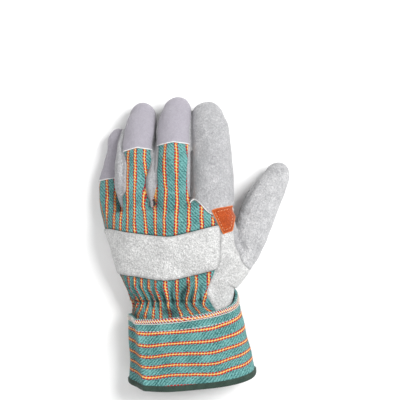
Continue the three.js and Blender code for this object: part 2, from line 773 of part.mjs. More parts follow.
const bindingFrom = 1 - BINDING_WIDTH / CUFF_LENGTH;
const overlockTo = OVERLOCK_WIDTH / CUFF_LENGTH;
const cuffGap = GAP / CUFF_LENGTH;
const greyLeather = { color: 0xc9c9cd, roughness: 0.92, metalness: 0 };
const orangeLeather = { color: 0xc8592a, roughness: 0.88, metalness: 0 };
const stripedCloth = { color: 0x509f94, roughness: 0.85, metalness: 0 };
const greenBinding = { color: 0x2e4b42, roughness: 0.8, metalness: 0 };
const overlockThread = { color: 0xd8c6bd, roughness: 0.8, metalness: 0 };

const pieces = [
  ['back_fabric', backFabric(), stripedCloth],
  ...capped.map((name) => [
    `cap_${name}`,
    fingerShell(name, LEATHER)
      .intersect(backSector(name, HALF_GAP))
      .intersect(beyondCapLine(name, HALF_GAP)),
    greyLeather,
  ]),
  ...capped.map((name) => [
    `front_${name}`,
    fingerShell(name, LEATHER).intersect(fingerZone).subtract(backSector(name, -HALF_GAP)),
    greyLeather,
  ]),
  ['index_finger', fingerShell('index', LEATHER).intersect(fingerZone), greyLeather],
  ['palm_leather', palmLeather(), greyLeather],
  ['thumb', leatherShell.intersect(thumbZone), greyLeather],
  ['knuckle_strap', knuckleStrap(), greyLeather],
  ['crotch_patch', crotchPatch(), orangeLeather],
  ['palm_patch', palmPatch(), orangeLeather],
  ['cuff', cuffRing(overlockTo + cuffGap, bindingFrom - cuffGap, CUFF_STEPS, 0, -CUFF_WALL), stripedCloth],
  ['cuff_overlock', cuffRing(0, overlockTo, 1, 0, -OVERLOCK_WALL), overlockThread],
  ['cuff_binding', cuffRing(bindingFrom, 1, 1, BINDING_PROUD, BINDING_PROUD - BINDING_WALL), greenBinding],
];

function toMesh([name, solid, finish]) {
  const { numProp, vertProperties, triVerts } = solid.getMesh();
  const geometry = new THREE.BufferGeometry();
  const positions = new THREE.InterleavedBuffer(vertProperties, numProp);
  geometry.setAttribute('position', new THREE.InterleavedBufferAttribute(positions, 3, 0));
  geometry.setIndex(new THREE.BufferAttribute(triVerts, 1));
  const mesh = new THREE.Mesh(geometry, new THREE.MeshStandardMaterial(finish));
  mesh.name = name;
  return mesh;
}

const glove = new THREE.Group();
glove.add(...pieces.map(toMesh));
const bounds = new THREE.Box3().setFromObject(glove);
const middle = bounds.getCenter(new THREE.Vector3());
glove.position.set(-middle.x, -middle.y, -bounds.min.z);

export default glove;
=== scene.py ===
"""A left-hand work glove of split leather and striped cloth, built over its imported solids."""
import math

import bpy
import numpy as np
from bpy.props import FloatProperty, FloatVectorProperty, IntProperty, PointerProperty
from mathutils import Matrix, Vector
from mathutils.bvhtree import BVHTree


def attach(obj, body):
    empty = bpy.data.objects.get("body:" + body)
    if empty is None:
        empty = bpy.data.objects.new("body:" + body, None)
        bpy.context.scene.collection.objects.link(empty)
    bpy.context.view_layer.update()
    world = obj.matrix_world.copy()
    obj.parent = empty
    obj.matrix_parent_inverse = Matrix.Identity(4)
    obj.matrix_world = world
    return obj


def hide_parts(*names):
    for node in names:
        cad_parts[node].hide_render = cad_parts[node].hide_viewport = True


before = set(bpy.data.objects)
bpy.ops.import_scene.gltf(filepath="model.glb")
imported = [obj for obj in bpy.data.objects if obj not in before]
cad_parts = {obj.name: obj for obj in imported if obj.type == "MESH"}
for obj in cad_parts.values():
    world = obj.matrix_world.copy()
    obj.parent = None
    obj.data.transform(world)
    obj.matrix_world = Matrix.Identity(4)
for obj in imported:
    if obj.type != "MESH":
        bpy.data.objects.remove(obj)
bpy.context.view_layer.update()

bl_info = {
    "name": "Work Glove",
    "version": (1, 0, 0),
    "blender": (4, 5, 0),
    "location": "View3D > Sidebar > Glove",
    "description": "Builds a leather and striped cloth work glove and the stage it lies on",
    "category": "Add Mesh",
}

TO_METRES = 0.001
TURN = 2 * math.pi

# Sizes in millimetres, as the solids have them. The hand runs from its elastic line to the crotches.
HAND_LENGTH, HAND_WIDTH, HAND_HEIGHT = 86.0, 117.0, 49.0
CUFF_LENGTH, CUFF_WIDTH, CUFF_HEIGHT = 62.0, 109.98, 46.0
THUMB_LENGTH, THUMB_WIDTH = 103.0, 32.0
CUFF_LEAN, CUFF_FLAP, TUCK, END_TRIM = 7.6, 11.0, 14.0, 1.8
CUFF_SAG, CUFF_END_SAG, CUFF_SKEW = 7.5, 9.5, 3.3
CUFF_WALL, BINDING_WIDTH, OVERLOCK_WIDTH = 1.4, 5.0, 4.5
STRAP_LENGTH, PALM_PATCH_LENGTH = 37.0, 34.0
CROTCH_PATCH_LENGTH, CROTCH_PATCH_WIDTH = 26.0, 23.0
STRIPE_PITCH = 10.4
# Where the middle of the elastic line lies in the frame.
SHIFT = np.array([-10.483, -51.750, 0.0])

# Columns: along, side, rise, width, height, roll (degrees). Shares of the hand's sizes.
HAND_ROWS = [
    (-0.07, 0.01, 0.42, 0.765, 0.7, 3),
    (0.0, 0.0, 0.42, 0.765, 0.74, 4),
    (0.12, -0.01, 0.45, 0.8, 0.84, 5),
    (0.26, -0.03, 0.48, 0.87, 0.94, 7),
    (0.45, -0.045, 0.575, 0.93, 0.98, 10),
    (0.63, -0.07, 0.615, 0.97, 1.0, 12),
    (0.78, -0.09, 0.635, 1.0, 0.98, 14),
    (0.9, -0.105, 0.64, 1.0, 0.88, 16),
]
HAND_END = (0.99, -0.12, 0.6)

# Each finger: length, width, then rows of along, side, rise, width, height, and last its tip.
# along: share of its length. side, rise: shares of the hand. width, height: shares of its width.
FINGERS = {
    "little": (68.0, 25.04, [
        (-0.32, -0.475, 0.39, 0.92, 0.96), (-0.1, -0.51, 0.31, 1.0, 0.98), (0.11, -0.524, 0.26, 1.0, 0.96),
        (0.37, -0.508, 0.245, 0.98, 0.92), (0.67, -0.478, 0.22, 0.9, 0.86), (0.85, -0.486, 0.205, 0.78, 0.8)],
        (1.0, -0.474, 0.18)),
    "ring": (90.0, 27.96, [
        (-0.18, -0.323, 0.61, 1.0, 1.0), (0.04, -0.333, 0.66, 1.0, 0.97), (0.28, -0.342, 0.65, 1.0, 0.95),
        (0.53, -0.331, 0.62, 0.98, 0.93), (0.74, -0.312, 0.43, 0.98, 0.89), (0.84, -0.301, 0.3, 0.86, 0.82)],
        (1.0, -0.29, 0.21)),
    "middle": (94.0, 31.47, [
        (-0.17, -0.06, 0.775, 0.98, 0.95), (0.035, -0.064, 0.785, 1.0, 0.95), (0.27, -0.068, 0.775, 1.0, 0.92),
        (0.5, -0.064, 0.715, 0.97, 0.9), (0.72, -0.056, 0.57, 0.92, 0.86), (0.84, -0.038, 0.42, 0.83, 0.8)],
        (1.0, -0.02, 0.27)),
    "index": (89.0, 34.98, [
        (-0.24, 0.226, 0.8, 0.95, 0.89), (-0.01, 0.237, 0.83, 1.0, 0.89), (0.235, 0.235, 0.81, 0.99, 0.86),
        (0.51, 0.226, 0.735, 0.96, 0.83), (0.75, 0.207, 0.58, 0.88, 0.79), (0.86, 0.196, 0.45, 0.8, 0.72)],
        (1.0, 0.185, 0.3)),
}
CAPPED = ("little", "ring", "middle")
# Leaf-shaped side strips that show between two fingers. Rows, in millimetres: y, x, z, width, height.
LEAVES = {
    ("ring", "little"): [
        (82.0, -51.8, 33.0, 1.6, 5.0), (88.0, -52.2, 33.0, 5.0, 10.0), (97.0, -52.4, 32.5, 8.6, 15.0),
        (108.0, -53.2, 31.5, 9.2, 20.0), (120.0, -53.8, 29.5, 8.4, 21.0), (134.0, -53.6, 25.0, 6.0, 19.0),
        (148.0, -52.4, 18.0, 3.0, 13.0)],
    ("ring", "middle"): [
        (82.5, -26.6, 42.5, 1.6, 5.0), (88.0, -26.7, 43.5, 5.0, 8.0), (97.0, -26.6, 43.5, 8.8, 11.0),
        (106.0, -26.4, 42.2, 8.4, 11.0), (116.0, -25.6, 39.0, 6.0, 9.0), (128.0, -24.4, 34.0, 4.0, 8.0), (140.0, -23.4, 26.0, 2.5, 6.0)],
}
THUMB_START = 0.22
THUMB_ROWS = [
    (0.0, 0.32, 0.5, 0.78, 0.98), (0.155, 0.405, 0.53, 0.9, 1.02), (0.34, 0.49, 0.53, 0.97, 1.0),
    (0.555, 0.562, 0.49, 1.0, 0.91), (0.76, 0.656, 0.4, 0.86, 0.8), (0.88, 0.715, 0.31, 0.7, 0.69),
]
THUMB_TIP = (1.0, 0.755, 0.22)
CUFF_ROWS = [(0.0, 0.89, 1.0), (0.2, 0.905, 1.0), (0.45, 0.935, 1.0), (0.75, 0.965, 1.0), (1.0, 1.0, 0.98)]
CUFF_TOP = (0.011, -0.047)
SQUARENESS = {"hand": 2.3, "finger": 2.15, "cuff": 2.5}

# Seams. Columns: along, side, in shares of the hand.
THUMB_EDGE = [(-3.5, 0.6), (0.2, 0.6), (0.38, 0.46), (0.5, 0.42), (0.63, 0.39), (0.76, 0.385), (0.96, 0.415), (3.5, 0.415)]
BACK_EDGE = [(-0.5, 0.3), (-0.16, 0.29), (0.0, 0.215), (0.09, 0.19), (0.16, 0.205), (0.3, 0.25), (0.5, 0.28),
             (0.7, 0.28), (0.885, 0.215), (1.04, 0.09), (1.3, 0.0)]
# Seams across the hand. Columns: side, along.
FINGER_LINE = [(-1.5, 0.94), (0.0, 0.955), (0.06, 1.0), (0.095, 1.03), (0.215, 0.885), (0.3, 0.905), (0.41, 0.965), (1.5, 1.0)]
STRAP_EDGE = [(-1.0, 0.74), (-0.582, 0.745), (-0.394, 0.7), (-0.105, 0.655), (0.01, 0.68), (0.143, 0.725), (0.265, 0.765),
              (0.5, 0.8)]
STRAP_END = 0.272
# Columns: share of the finger's length, half the angle that the cloth spans on its back.
BACK_SPAN = [(-0.25, 84), (0.02, 82), (0.1, 62), (0.3, 56), (0.6, 66), (1.2, 72)]
LITTLE_SEAM = 200
# How far the leaf-shaped strip comes round on to the back of the ring finger, in degrees.
LEAF_TURN = 22
# Cut edge of each cap: how far along the finger at its left side, middle and right side.
CAP_LINES = {"little": (0.3, 0.33, 0.39), "ring": (0.48, 0.53, 0.51), "middle": (0.52, 0.555, 0.535)}
PALM_PATCH_TOP = 0.86
PALM_PATCH_EDGE = [(-0.6, 1.0), (-0.1, 1.0), (0.12, 0.95), (0.25, 0.75), (0.33, 0.35), (0.37, 0.0)]
CROTCH_PATCH = [(-0.48, 0.27), (-0.055, -0.5), (0.29, -0.37), (0.365, 0.09), (0.465, 0.5)]
CROTCH_PATCH_PLACE = (0.312, 0.831)

# Stripes of the back cloth: their places across at the knuckles, over the strap's lower edge,
# and at the elastic line, from the little finger to the thumb side.
STRIPES_AT = (67.0, 14.5, -1.3, -12.0)
STRIPES = [
    (-74.5, -66.0, -58.8, -52.8, -46.6, -40.4, -31.2, -22.4, -14.6, -4.2, 6.2, 17.4, 27.2),
    (-62.0, -57.5, -52.4, -46.1, -40.6, -34.3, -27.6, -21.7, -13.1, -4.0, 5.8, 12.0, 23.8),
    (-52.0, -48.0, -43.5, -39.0, -34.6, -29.4, -23.8, -18.5, -11.6, -3.8, 4.2, 10.0, 19.5),
    (-59.0, -54.2, -49.0, -43.4, -38.0, -31.6, -24.8, -18.2, -9.8, 0.0, 9.8, 17.0, 28.5),
]
CUFF_STRIPES = (2.7, 12.4, 22.4, 31.9, 40.7, 48.9, 59.4)

# Folds and dents of the back. Columns: from x, y, to x, y, half width, depth. A ridge has a depth below 0.
CREASES = [
    (8.8, 20.7, -1.8, 2.0, 1.5, 2.4),
    (51.0, 78.3, 59.0, 77.0, 2.2, 1.3),
    (50.0, 52.4, 55.4, 43.6, 2.2, 1.3),
    (66.0, 106.0, 48.5, 79.0, 2.2, 1.1),
    (86.5, 119.0, 88.5, 113.0, 1.0, 0.9),
    (14.0, 92.0, 34.0, 99.0, 3.2, 0.9),
    (30.0, 70.0, 40.0, 58.0, 3.5, 0.8),
    (31.0, 34.0, 27.0, 8.0, 3.0, 1.1),
    (38.0, 46.0, 33.0, 20.0, 3.5, 0.8),
    (-27.0, 17.0, -24.0, 1.0, 1.3, 1.3),
    (-44.0, 16.0, -38.0, 1.0, 1.2, 1.2),
    (16.5, 15.0, 11.0, 1.0, 1.2, 1.3),
]


def smooth(value, low, high):
    """0 below low, 1 above high and eased between them."""
    share = np.clip((value - low) / (high - low), 0, 1)
    return share * share * (3 - 2 * share)


def fade(distance, reach):
    """1 at no distance, falling off at the pace of reach."""
    return np.exp(-((distance / reach) ** 2))


def eased(rows, along):
    """Every column of a table at the places asked for, eased through its rows."""
    rows = np.asarray(rows, float)
    along = np.atleast_1d(np.asarray(along, float))
    last = len(rows) - 1
    low = np.clip(np.searchsorted(rows[:, 0], along) - 1, 0, last - 1)
    here, there = rows[low], rows[low + 1]
    before, after = rows[np.maximum(low - 1, 0)], rows[np.minimum(low + 2, last)]
    span = (there - here)[:, :1]
    share = np.clip((along[:, None] - here[:, :1]) / span, 0, 1)
    leave = (there - before) * span / (there - before)[:, :1]
    reach = (after - here) * span / (after - here)[:, :1]
    return (
        here * (1 + 2 * share) * (1 - share) ** 2 + leave * share * (1 - share) ** 2
        + there * share**2 * (3 - 2 * share) - reach * share**2 * (1 - share)
    )


def seam(rows, along, unit_along=HAND_LENGTH, unit_side=HAND_WIDTH):
    """The place across a seam at the places along it, in millimetres."""
    return eased(rows, along / unit_along)[:, 1] * unit_side


def waves(points, length, seed, count=22):
    """A smooth random height over space, with bumps about one length apart."""
    random = np.random.default_rng(seed)
    way = random.normal(size=(count, 3))
    way *= (TURN / length / np.linalg.norm(way, axis=1) * random.uniform(0.6, 1.3, count))[:, None]
    return np.cos(points @ way.T + random.uniform(0, TURN, count)).sum(1) * math.sqrt(2 / count) / 1.5


def unit(vectors):
    return vectors / np.maximum(np.linalg.norm(vectors, axis=-1, keepdims=True), 1e-9)


def floor_soft(heights, lowest, softness=1.6):
    """Heights that flatten out gently where they would sink into what carries them."""
    over = heights - lowest
    return lowest + (over + np.sqrt(over**2 + softness**2)) / 2 - softness / 2 * fade(over, 4 * softness)


class Tube:
    """The hand, a finger or the thumb: sections along a spine that ends in a round tip."""

    def __init__(self, rows, centre, tip, width_unit, height_unit, power, steps, ahead=None):
        rows = np.array([list(row) + [0.0] * (7 - len(row)) for row in rows])
        self.rows, self.power = rows, power
        along = np.linspace(rows[0, 0], rows[-1, 0], steps)
        table = eased(rows, along)
        middles = centre(table[:, 0], table[:, 1], table[:, 2])
        aheads = unit(np.gradient(middles, axis=0)) if ahead is None else ahead(table[:, 6])
        width, height, roll = table[:, 3] * width_unit, table[:, 4] * height_unit, table[:, 5]
        end = centre(*[np.array([share]) for share in tip])
        outward = unit(end - middles[-1])
        bend = np.linspace(0, 1, 15)[1:-1]
        sine, cosine = np.sin(bend * math.pi / 2)[:, None], np.cos(bend * math.pi / 2)
        self.full = (middles[:, 1], width, height, roll)
        self.middles = np.vstack([middles, middles[-1] + (end - middles[-1]) * sine])
        self.aheads = unit(np.vstack([aheads, aheads[-1] + (outward - aheads[-1]) * bend[:, None]]))
        self.width = np.append(width, width[-1] * cosine)
        self.height = np.append(height, height[-1] * cosine)
        self.roll = np.radians(np.append(roll, np.full(len(bend), roll[-1])))
        self.end = end[0]

    def rings(self, sides):
        """Points of every section: sections by sides by 3."""
        angle = np.arange(sides) / sides * TURN
        cosine, sine = np.cos(angle), np.sin(angle)
        across = np.sign(cosine) * np.abs(cosine) ** (2 / self.power)
        over = np.sign(sine) * np.abs(sine) ** (2 / self.power)
        side = unit(np.cross(self.aheads, [0.0, 0.0, 1.0]))
        up = unit(np.cross(side, self.aheads))
        wide, tall = across[None] * self.width[:, None], over[None] * self.height[:, None]
        cos_roll, sin_roll = np.cos(self.roll)[:, None], np.sin(self.roll)[:, None]
        x, z = (wide * cos_roll - tall * sin_roll) / 2, (wide * sin_roll + tall * cos_roll) / 2
        return self.middles[:, None] + side[:, None] * x[..., None] + up[:, None] * z[..., None]

    def solid(self, sides):
        """Points and faces of the tube closed at both ends."""
        rings = self.rings(sides)
        count = len(rings)
        points = np.vstack([rings.reshape(-1, 3), rings[0].mean(0), self.end])
        faces = [
            (row * sides + i, row * sides + (i + 1) % sides, (row + 1) * sides + (i + 1) % sides, (row + 1) * sides + i)
            for row in range(count - 1) for i in range(sides)
        ]
        first, last = count * sides, count * sides + 1
        faces += [(first, (i + 1) % sides, i) for i in range(sides)]
        faces += [(last, (count - 1) * sides + i, (count - 1) * sides + (i + 1) % sides) for i in range(sides)]
        return points, faces

    def at(self, y):
        """Middle x and z, width, height and roll of the section at each y."""
        x = np.interp(y, self.middles[:, 1], self.middles[:, 0])
        z = np.interp(y, self.middles[:, 1], self.middles[:, 2])
        width, height, roll = (np.interp(y, self.full[0], column) for column in self.full[1:])
        return x, z, width, height, np.radians(roll)

    def around(self, points):
        """Angle round the section, from -90 to 270 degrees with the top at 90, and distance in radii."""
        x, z, width, height, _ = self.at(points[:, 1])
        across, over = (points[:, 0] - x) / width * 2, (points[:, 2] - z) / height * 2
        angle = np.degrees(np.arctan2(over, across))
        return np.where(angle < -90, angle + 360, angle), np.hypot(across, over)


def hand_middle(along, side, rise):
    return np.stack([side * HAND_WIDTH, along * HAND_LENGTH, rise * HAND_HEIGHT], -1)


def cuff_frame():
    """The cuff's top point and the way that it runs, away from the fingers."""
    lean = math.radians(CUFF_LEAN)
    top = np.array([CUFF_TOP[0] * HAND_WIDTH, CUFF_TOP[1] * HAND_LENGTH, 0.0])
    return top, np.array([math.sin(lean), -math.cos(lean), 0.0])


def build_tubes():
    top, axis = cuff_frame()
    tuck = eased(CUFF_ROWS, TUCK / CUFF_LENGTH)[0]
    middle = top + axis * TUCK
    slack = 2 * (CUFF_WALL + 0.5)
    tucked = (
        middle[1] / HAND_LENGTH, middle[0] / HAND_WIDTH, (tuck[2] / 2 - 0.03) * CUFF_HEIGHT / HAND_HEIGHT,
        (tuck[1] * CUFF_WIDTH - slack) / HAND_WIDTH, (tuck[2] * CUFF_HEIGHT - slack) / HAND_HEIGHT, 0.0, CUFF_LEAN,
    )
    made = {"hand": Tube(
        [tucked] + HAND_ROWS, hand_middle, HAND_END, HAND_WIDTH, HAND_HEIGHT, SQUARENESS["hand"], 60,
        lambda lean: np.stack([-np.sin(np.radians(lean)), np.cos(np.radians(lean)), 0 * lean], -1),
    )}
    for name, (length, width, rows, tip) in FINGERS.items():
        def middle_of(along, side, rise, length=length):
            return np.stack([side * HAND_WIDTH, HAND_LENGTH + along * length, rise * HAND_HEIGHT], -1)
        made[name] = Tube(rows, middle_of, tip, width, width, SQUARENESS["finger"], 48)

    def thumb_middle(along, side, rise):
        return np.stack([side * HAND_WIDTH, THUMB_START * HAND_LENGTH + along * THUMB_LENGTH, rise * HAND_HEIGHT], -1)
    made["thumb"] = Tube(THUMB_ROWS, thumb_middle, THUMB_TIP, THUMB_WIDTH, THUMB_WIDTH, SQUARENESS["finger"], 56)
    return made


def build_leaves():
    def place(y, x, z):
        return np.stack([x, y, z], -1)
    made = {}
    for pair, rows in LEAVES.items():
        last = rows[-1]
        tip = (last[0] + 3.0, last[1], last[2] - 2.0)
        made[pair] = Tube(rows, place, tip, 1.0, 1.0, 2.0, 30)
    return made


TUBES = build_tubes()
LEAF_TUBES = build_leaves()


# Skin: the tubes joined to one fine surface, in millimetres in the hand's own place.

def voxel_skin(voxel):
    points, faces = [], []
    for name, tube in [*TUBES.items(), *LEAF_TUBES.items()]:
        part, part_faces = tube.solid(112 if name == "hand" else 56)
        start = sum(len(p) for p in points)
        points.append(part)
        faces += [tuple(start + i for i in face) for face in part_faces]
    mesh = bpy.data.meshes.new("skin")
    mesh.from_pydata((np.vstack(points) * TO_METRES).tolist(), [], faces)
    form = bpy.data.objects.new("skin", mesh)
    bpy.context.scene.collection.objects.link(form)
    remesh = form.modifiers.new("remesh", "REMESH")
    remesh.mode, remesh.voxel_size, remesh.adaptivity = "VOXEL", voxel * TO_METRES, 0.0
    done = form.evaluated_get(bpy.context.evaluated_depsgraph_get()).to_mesh()
    count = len(done.vertices)
    skin = np.empty(count * 3)
    done.vertices.foreach_get("co", skin)
    corners = np.empty(len(done.loops), int)
    done.loops.foreach_get("vertex_index", corners)
    skin, quads = skin.reshape(-1, 3) / TO_METRES, corners.reshape(-1, 4)
    bpy.data.objects.remove(form)
    bpy.data.meshes.remove(mesh)
    return skin, quads


def relax(points, quads, rounds):
    """Evens out the surface without shrinking it."""
    edges = np.vstack([quads[:, [i, (i + 1) % 4]] for i in range(4)])
    edges = np.unique(np.sort(edges, 1), axis=0)
    count = np.bincount(edges.ravel(), minlength=len(points))[:, None]
    for pace in [0.6, -0.55] * rounds:
        total = np.stack([
            np.bincount(edges[:, 0], points[edges[:, 1], k], len(points))
            + np.bincount(edges[:, 1], points[edges[:, 0], k], len(points)) for k in range(3)], 1)
        points = points + (total / count - points) * pace
    return points


def normals_of(points, triangles):
    one, two, three = (points[triangles[:, i]] for i in range(3))
    face = np.cross(two - one, three - one)
    total = np.stack([sum(np.bincount(triangles[:, i], face[:, k], len(points)) for i in range(3)) for k in range(3)], 1)
    return unit(total)


def relief(p, normal):
    """Height of the gathers, folds and dents over the skin, in millimetres."""
    x, y, z = p.T
    back = smooth(normal[:, 2], -0.1, 0.5)
    sheet_side = smooth(24 - x, 0, 10)
    wrist = fade(y - 1.0, 15.0) * sheet_side
    stray = 0.9 * waves(p, 26.0, 3)
    pucker = np.cos(TURN * stripe_place(p) * 1.0 + stray)
    fine = np.cos(TURN * stripe_place(p) * 2.3 + 1.7 * stray)
    tucked = smooth(-y, 2.0, 7.0)
    height = back * wrist * (1 - tucked) * (2.1 * np.abs(pucker) ** 1.3 * np.sign(pucker) + 0.8 * fine - 0.4)
    tight = np.cos(TURN * (stripe_place(p) * 3.2 + y / 11.0) + 1.2 * stray)
    height += (0.75 * tight - 0.2) * back * fade(y - 1.0, 5.0) * sheet_side
    height -= 1.6 * back * fade(y - 0.3, 1.4) * sheet_side
    height += (1 - tucked) * (0.5 * waves(p, 34.0, 7) + 0.22 * waves(p, 13.0, 11)) + 0.3 * tucked
    knuckle = fade(y - 74.0, 9.0) * back
    for name in CAPPED:
        middle, _, width, _, _ = TUBES[name].at(y)
        height += knuckle * 0.9 * (fade(x - middle, width * 0.32) - 0.35) * (np.abs(x - middle) < width)
    for x1, y1, x2, y2, reach, depth in CREASES:
        way = np.array([x2 - x1, y2 - y1])
        length = np.hypot(*way)
        along = ((x - x1) * way[0] + (y - y1) * way[1]) / length
        off = ((y - y1) * way[0] - (x - x1) * way[1]) / length
        ends = smooth(along, -0.1 * length, 0.25 * length) * smooth(length - along, -0.1 * length, 0.25 * length)
        height -= depth * back * ends * (fade(off, reach) - 0.35 * fade(np.abs(off) - 2.2 * reach, reach))
    for name, (length, width, rows, _) in FINGERS.items():
        angle, away = TUBES[name].around(p)
        own = smooth(1.25 - away, 0, 0.2) * smooth(y, HAND_LENGTH, HAND_LENGTH + 12)
        for share, depth in ((0.28, 0.5), (0.52, 0.45)):
            place = y - HAND_LENGTH - share * length + 1.5 * np.sin(np.radians(angle) * 2)
            height -= own * depth * fade(place, 2.2) * smooth(-normal[:, 2], -0.4, 0.6)
    return height


def stripe_place(p):
    """Which stripe of the back cloth each point lies at, as a number that rises toward the thumb."""
    x, y, z = p.T
    low = np.interp(y, [0, 40, 70, HAND_LENGTH + 6, 150], [27.0, 33.0, 30.0, 18.0, 14.0])
    drop = np.maximum(low - z, 0) * smooth(-x, 28, 44)
    x = x - drop
    numbers = np.arange(len(STRIPES[0]), dtype=float)
    found = []
    for row in STRIPES:
        row = np.array(row)
        inner = np.interp(x, row, numbers)
        inner = np.where(x < row[0], (x - row[0]) / 7.5, inner)
        found.append(np.where(x > row[-1], numbers[-1] + (x - row[-1]) / STRIPE_PITCH, inner))
    blend = [smooth(y, STRIPES_AT[i + 1], STRIPES_AT[i]) for i in range(len(STRIPES_AT) - 1)]
    place = found[-1]
    for i in range(len(found) - 2, -1, -1):
        place = place + (found[i] - place) * blend[i]
    return place + 0.055 * waves(p, 34.0, 31) + 0.03 * waves(p, 12.0, 32)


# Panels: each is where a field over the skin, in millimetres from its seam, is above 0.

def zones(p):
    """Distance inside each panel's seams, below 0 outside it."""
    x, y, z = p.T
    middle, height_at, _, height, roll = TUBES["hand"].at(y)
    rise = 0.16 * HAND_HEIGHT * smooth(y, 0.78 * HAND_LENGTH, 0.9 * HAND_LENGTH) * smooth(x, -66.0, -46.0)
    above = z - (height_at - 0.12 * height + rise + np.tan(roll) * (x - middle))
    thumb = (x - seam(THUMB_EDGE, y)) * 0.85
    cloth_side = (seam(BACK_EDGE, y) - x) * 0.9
    beyond = y - seam(FINGER_LINE, x, HAND_WIDTH, HAND_LENGTH)
    around = {name: TUBES[name].around(p) for name in FINGERS}
    on_leaf = {name: np.full(len(p), -9.0) for name in FINGERS}
    off_leaf = {name: np.full(len(p), -9.0) for name in FINGERS}
    for (owner, beside), tube in LEAF_TUBES.items():
        _, away = tube.around(p)
        ends = np.minimum(y - tube.middles[0, 1], tube.middles[-1, 1] - y)
        leaf = np.minimum((1.06 - away) * np.interp(y, tube.full[0], tube.full[1]) / 2, ends)
        on_leaf[owner] = np.maximum(on_leaf[owner], leaf)
        off_leaf[beside] = np.maximum(off_leaf[beside], leaf)
    zone = {"above": above, "thumb": thumb, "beyond": beyond, "cloth_side": cloth_side}
    leaves = np.maximum.reduce([*on_leaf.values(), *off_leaf.values()])
    beyond = np.maximum(beyond, leaves)
    cloth = np.minimum.reduce([above, -beyond, cloth_side, -thumb])
    true_cloth = cloth
    for name, (length, width, rows, _) in FINGERS.items():
        angle, away = around[name]
        others = np.min([around[other][1] for other in FINGERS if other != name], axis=0)
        member = np.minimum(np.maximum((others - away) * 7, on_leaf[name]), -off_leaf[name])
        zone[f"member_{name}"] = member
        if name not in CAPPED:
            zone["index"] = np.minimum.reduce([beyond, member, -thumb])
            continue
        half = eased(BACK_SPAN, np.clip((y - HAND_LENGTH) / length, -0.25, 1.0))[:, 1]
        to = LITTLE_SEAM if name == "little" else 90 + half
        if name == "ring":
            to = to - LEAF_TURN * smooth(y, 84.0, 98.0) * smooth(-y, -138.0, -116.0)
        sector = np.radians(np.minimum(angle - (90 - half), to - angle)) * width / 2
        sector = np.minimum(sector, -np.maximum(on_leaf[name], off_leaf[name]))
        left, centre, right = (HAND_LENGTH + share * length for share in CAP_LINES[name])
        section_x, _, section_width, _, _ = TUBES[name].at(y)
        share = (x - section_x) / section_width
        line = centre + (left - centre) * np.clip(-share, 0, 1.2) * 1.6 + (right - centre) * np.clip(share, 0, 1.2) * 1.6
        zone[f"cap_{name}"] = np.minimum.reduce([sector, member, y - line])
        zone[f"line_{name}"] = y - line
        zone[f"front_{name}"] = np.minimum.reduce([beyond, member, -sector])
        back = np.minimum.reduce([sector, member, beyond + 3.0])
        true_cloth = np.maximum(true_cloth, np.minimum(back, line - y))
        cloth = np.maximum(cloth, np.minimum(back, line - y + 2.6))
    top_point, axis = cuff_frame()
    open_end = TUCK - END_TRIM - (p - top_point) @ axis
    zone["cloth"] = np.minimum(cloth, open_end)
    others = [true_cloth, thumb, zone["index"]] + [zone[f"{part}_{name}"] for part in ("cap", "front") for name in CAPPED]
    zone["palm"] = np.minimum(-np.maximum.reduce(others), open_end)
    strap_top = seam(STRAP_EDGE, x, HAND_WIDTH, HAND_LENGTH)
    strap_side = np.minimum(seam(BACK_EDGE, y) + 0.8, STRAP_END * HAND_WIDTH + 1.2) - x
    zone["strap"] = np.minimum.reduce([above - 0.3, strap_top - y, y - strap_top + STRAP_LENGTH, strap_side])
    zone["crotch"] = np.minimum(polygon_field(x, y, [
        ((CROTCH_PATCH_PLACE[0] * HAND_WIDTH + side * CROTCH_PATCH_WIDTH),
         (CROTCH_PATCH_PLACE[1] * HAND_LENGTH + along * CROTCH_PATCH_LENGTH)) for side, along in CROTCH_PATCH]), above)
    top = PALM_PATCH_TOP * HAND_LENGTH
    drop = np.interp(x / HAND_WIDTH, *np.array(PALM_PATCH_EDGE).T) * PALM_PATCH_LENGTH
    zone["palm_patch"] = np.minimum.reduce([top - y, (y - top + drop) * 0.8, -above - 0.6 - 10 * smooth(-x, 42, 58)])
    return zone


def polygon_field(x, y, corners):
    """Distance inside a bulging outline whose corners run counterclockwise."""
    inside = []
    for (x1, y1), (x2, y2) in zip(corners, corners[1:] + corners[:1]):
        length = math.hypot(x2 - x1, y2 - y1)
        inside.append(((x2 - x1) * (y - y1) - (y2 - y1) * (x - x1)) / length)
    return np.minimum.reduce(inside)


def clip(columns, triangles, field):
    """The part of a triangle mesh where field is above 0. columns are values kept for each point."""
    inside = field > 0
    kept = inside[triangles].sum(1)
    whole = triangles[kept == 3]
    mixed = triangles[(kept == 1) | (kept == 2)]
    pieces = [whole]
    if len(mixed):
        lone = (kept[(kept == 1) | (kept == 2)] == 1)
        state = inside[mixed]
        odd = np.where(lone, state.argmax(1), (~state).argmax(1))
        turned = np.stack([mixed[np.arange(len(mixed)), (odd + i) % 3] for i in range(3)], 1)
        edges = np.sort(np.vstack([turned[:, [0, 1]], turned[:, [0, 2]]]), 1)
        unique, back = np.unique(edges, axis=0, return_inverse=True)
        back = back.ravel()
        one, two = field[unique[:, 0]], field[unique[:, 1]]
        share = (one / (one - two))[:, None]
        columns = np.vstack([columns, columns[unique[:, 0]] * (1 - share) + columns[unique[:, 1]] * share])
        first = len(field) + back[:len(turned)]
        second = len(field) + back[len(turned):]
        tip, left, right = turned.T
        pieces.append(np.stack([tip, first, second], 1)[lone])
        pieces.append(np.stack([first, left, right], 1)[~lone])
        pieces.append(np.stack([first, right, second], 1)[~lone])
    triangles = np.vstack(pieces)
    used, back = np.unique(triangles, return_inverse=True)
    return columns[used], back.reshape(-1, 3)


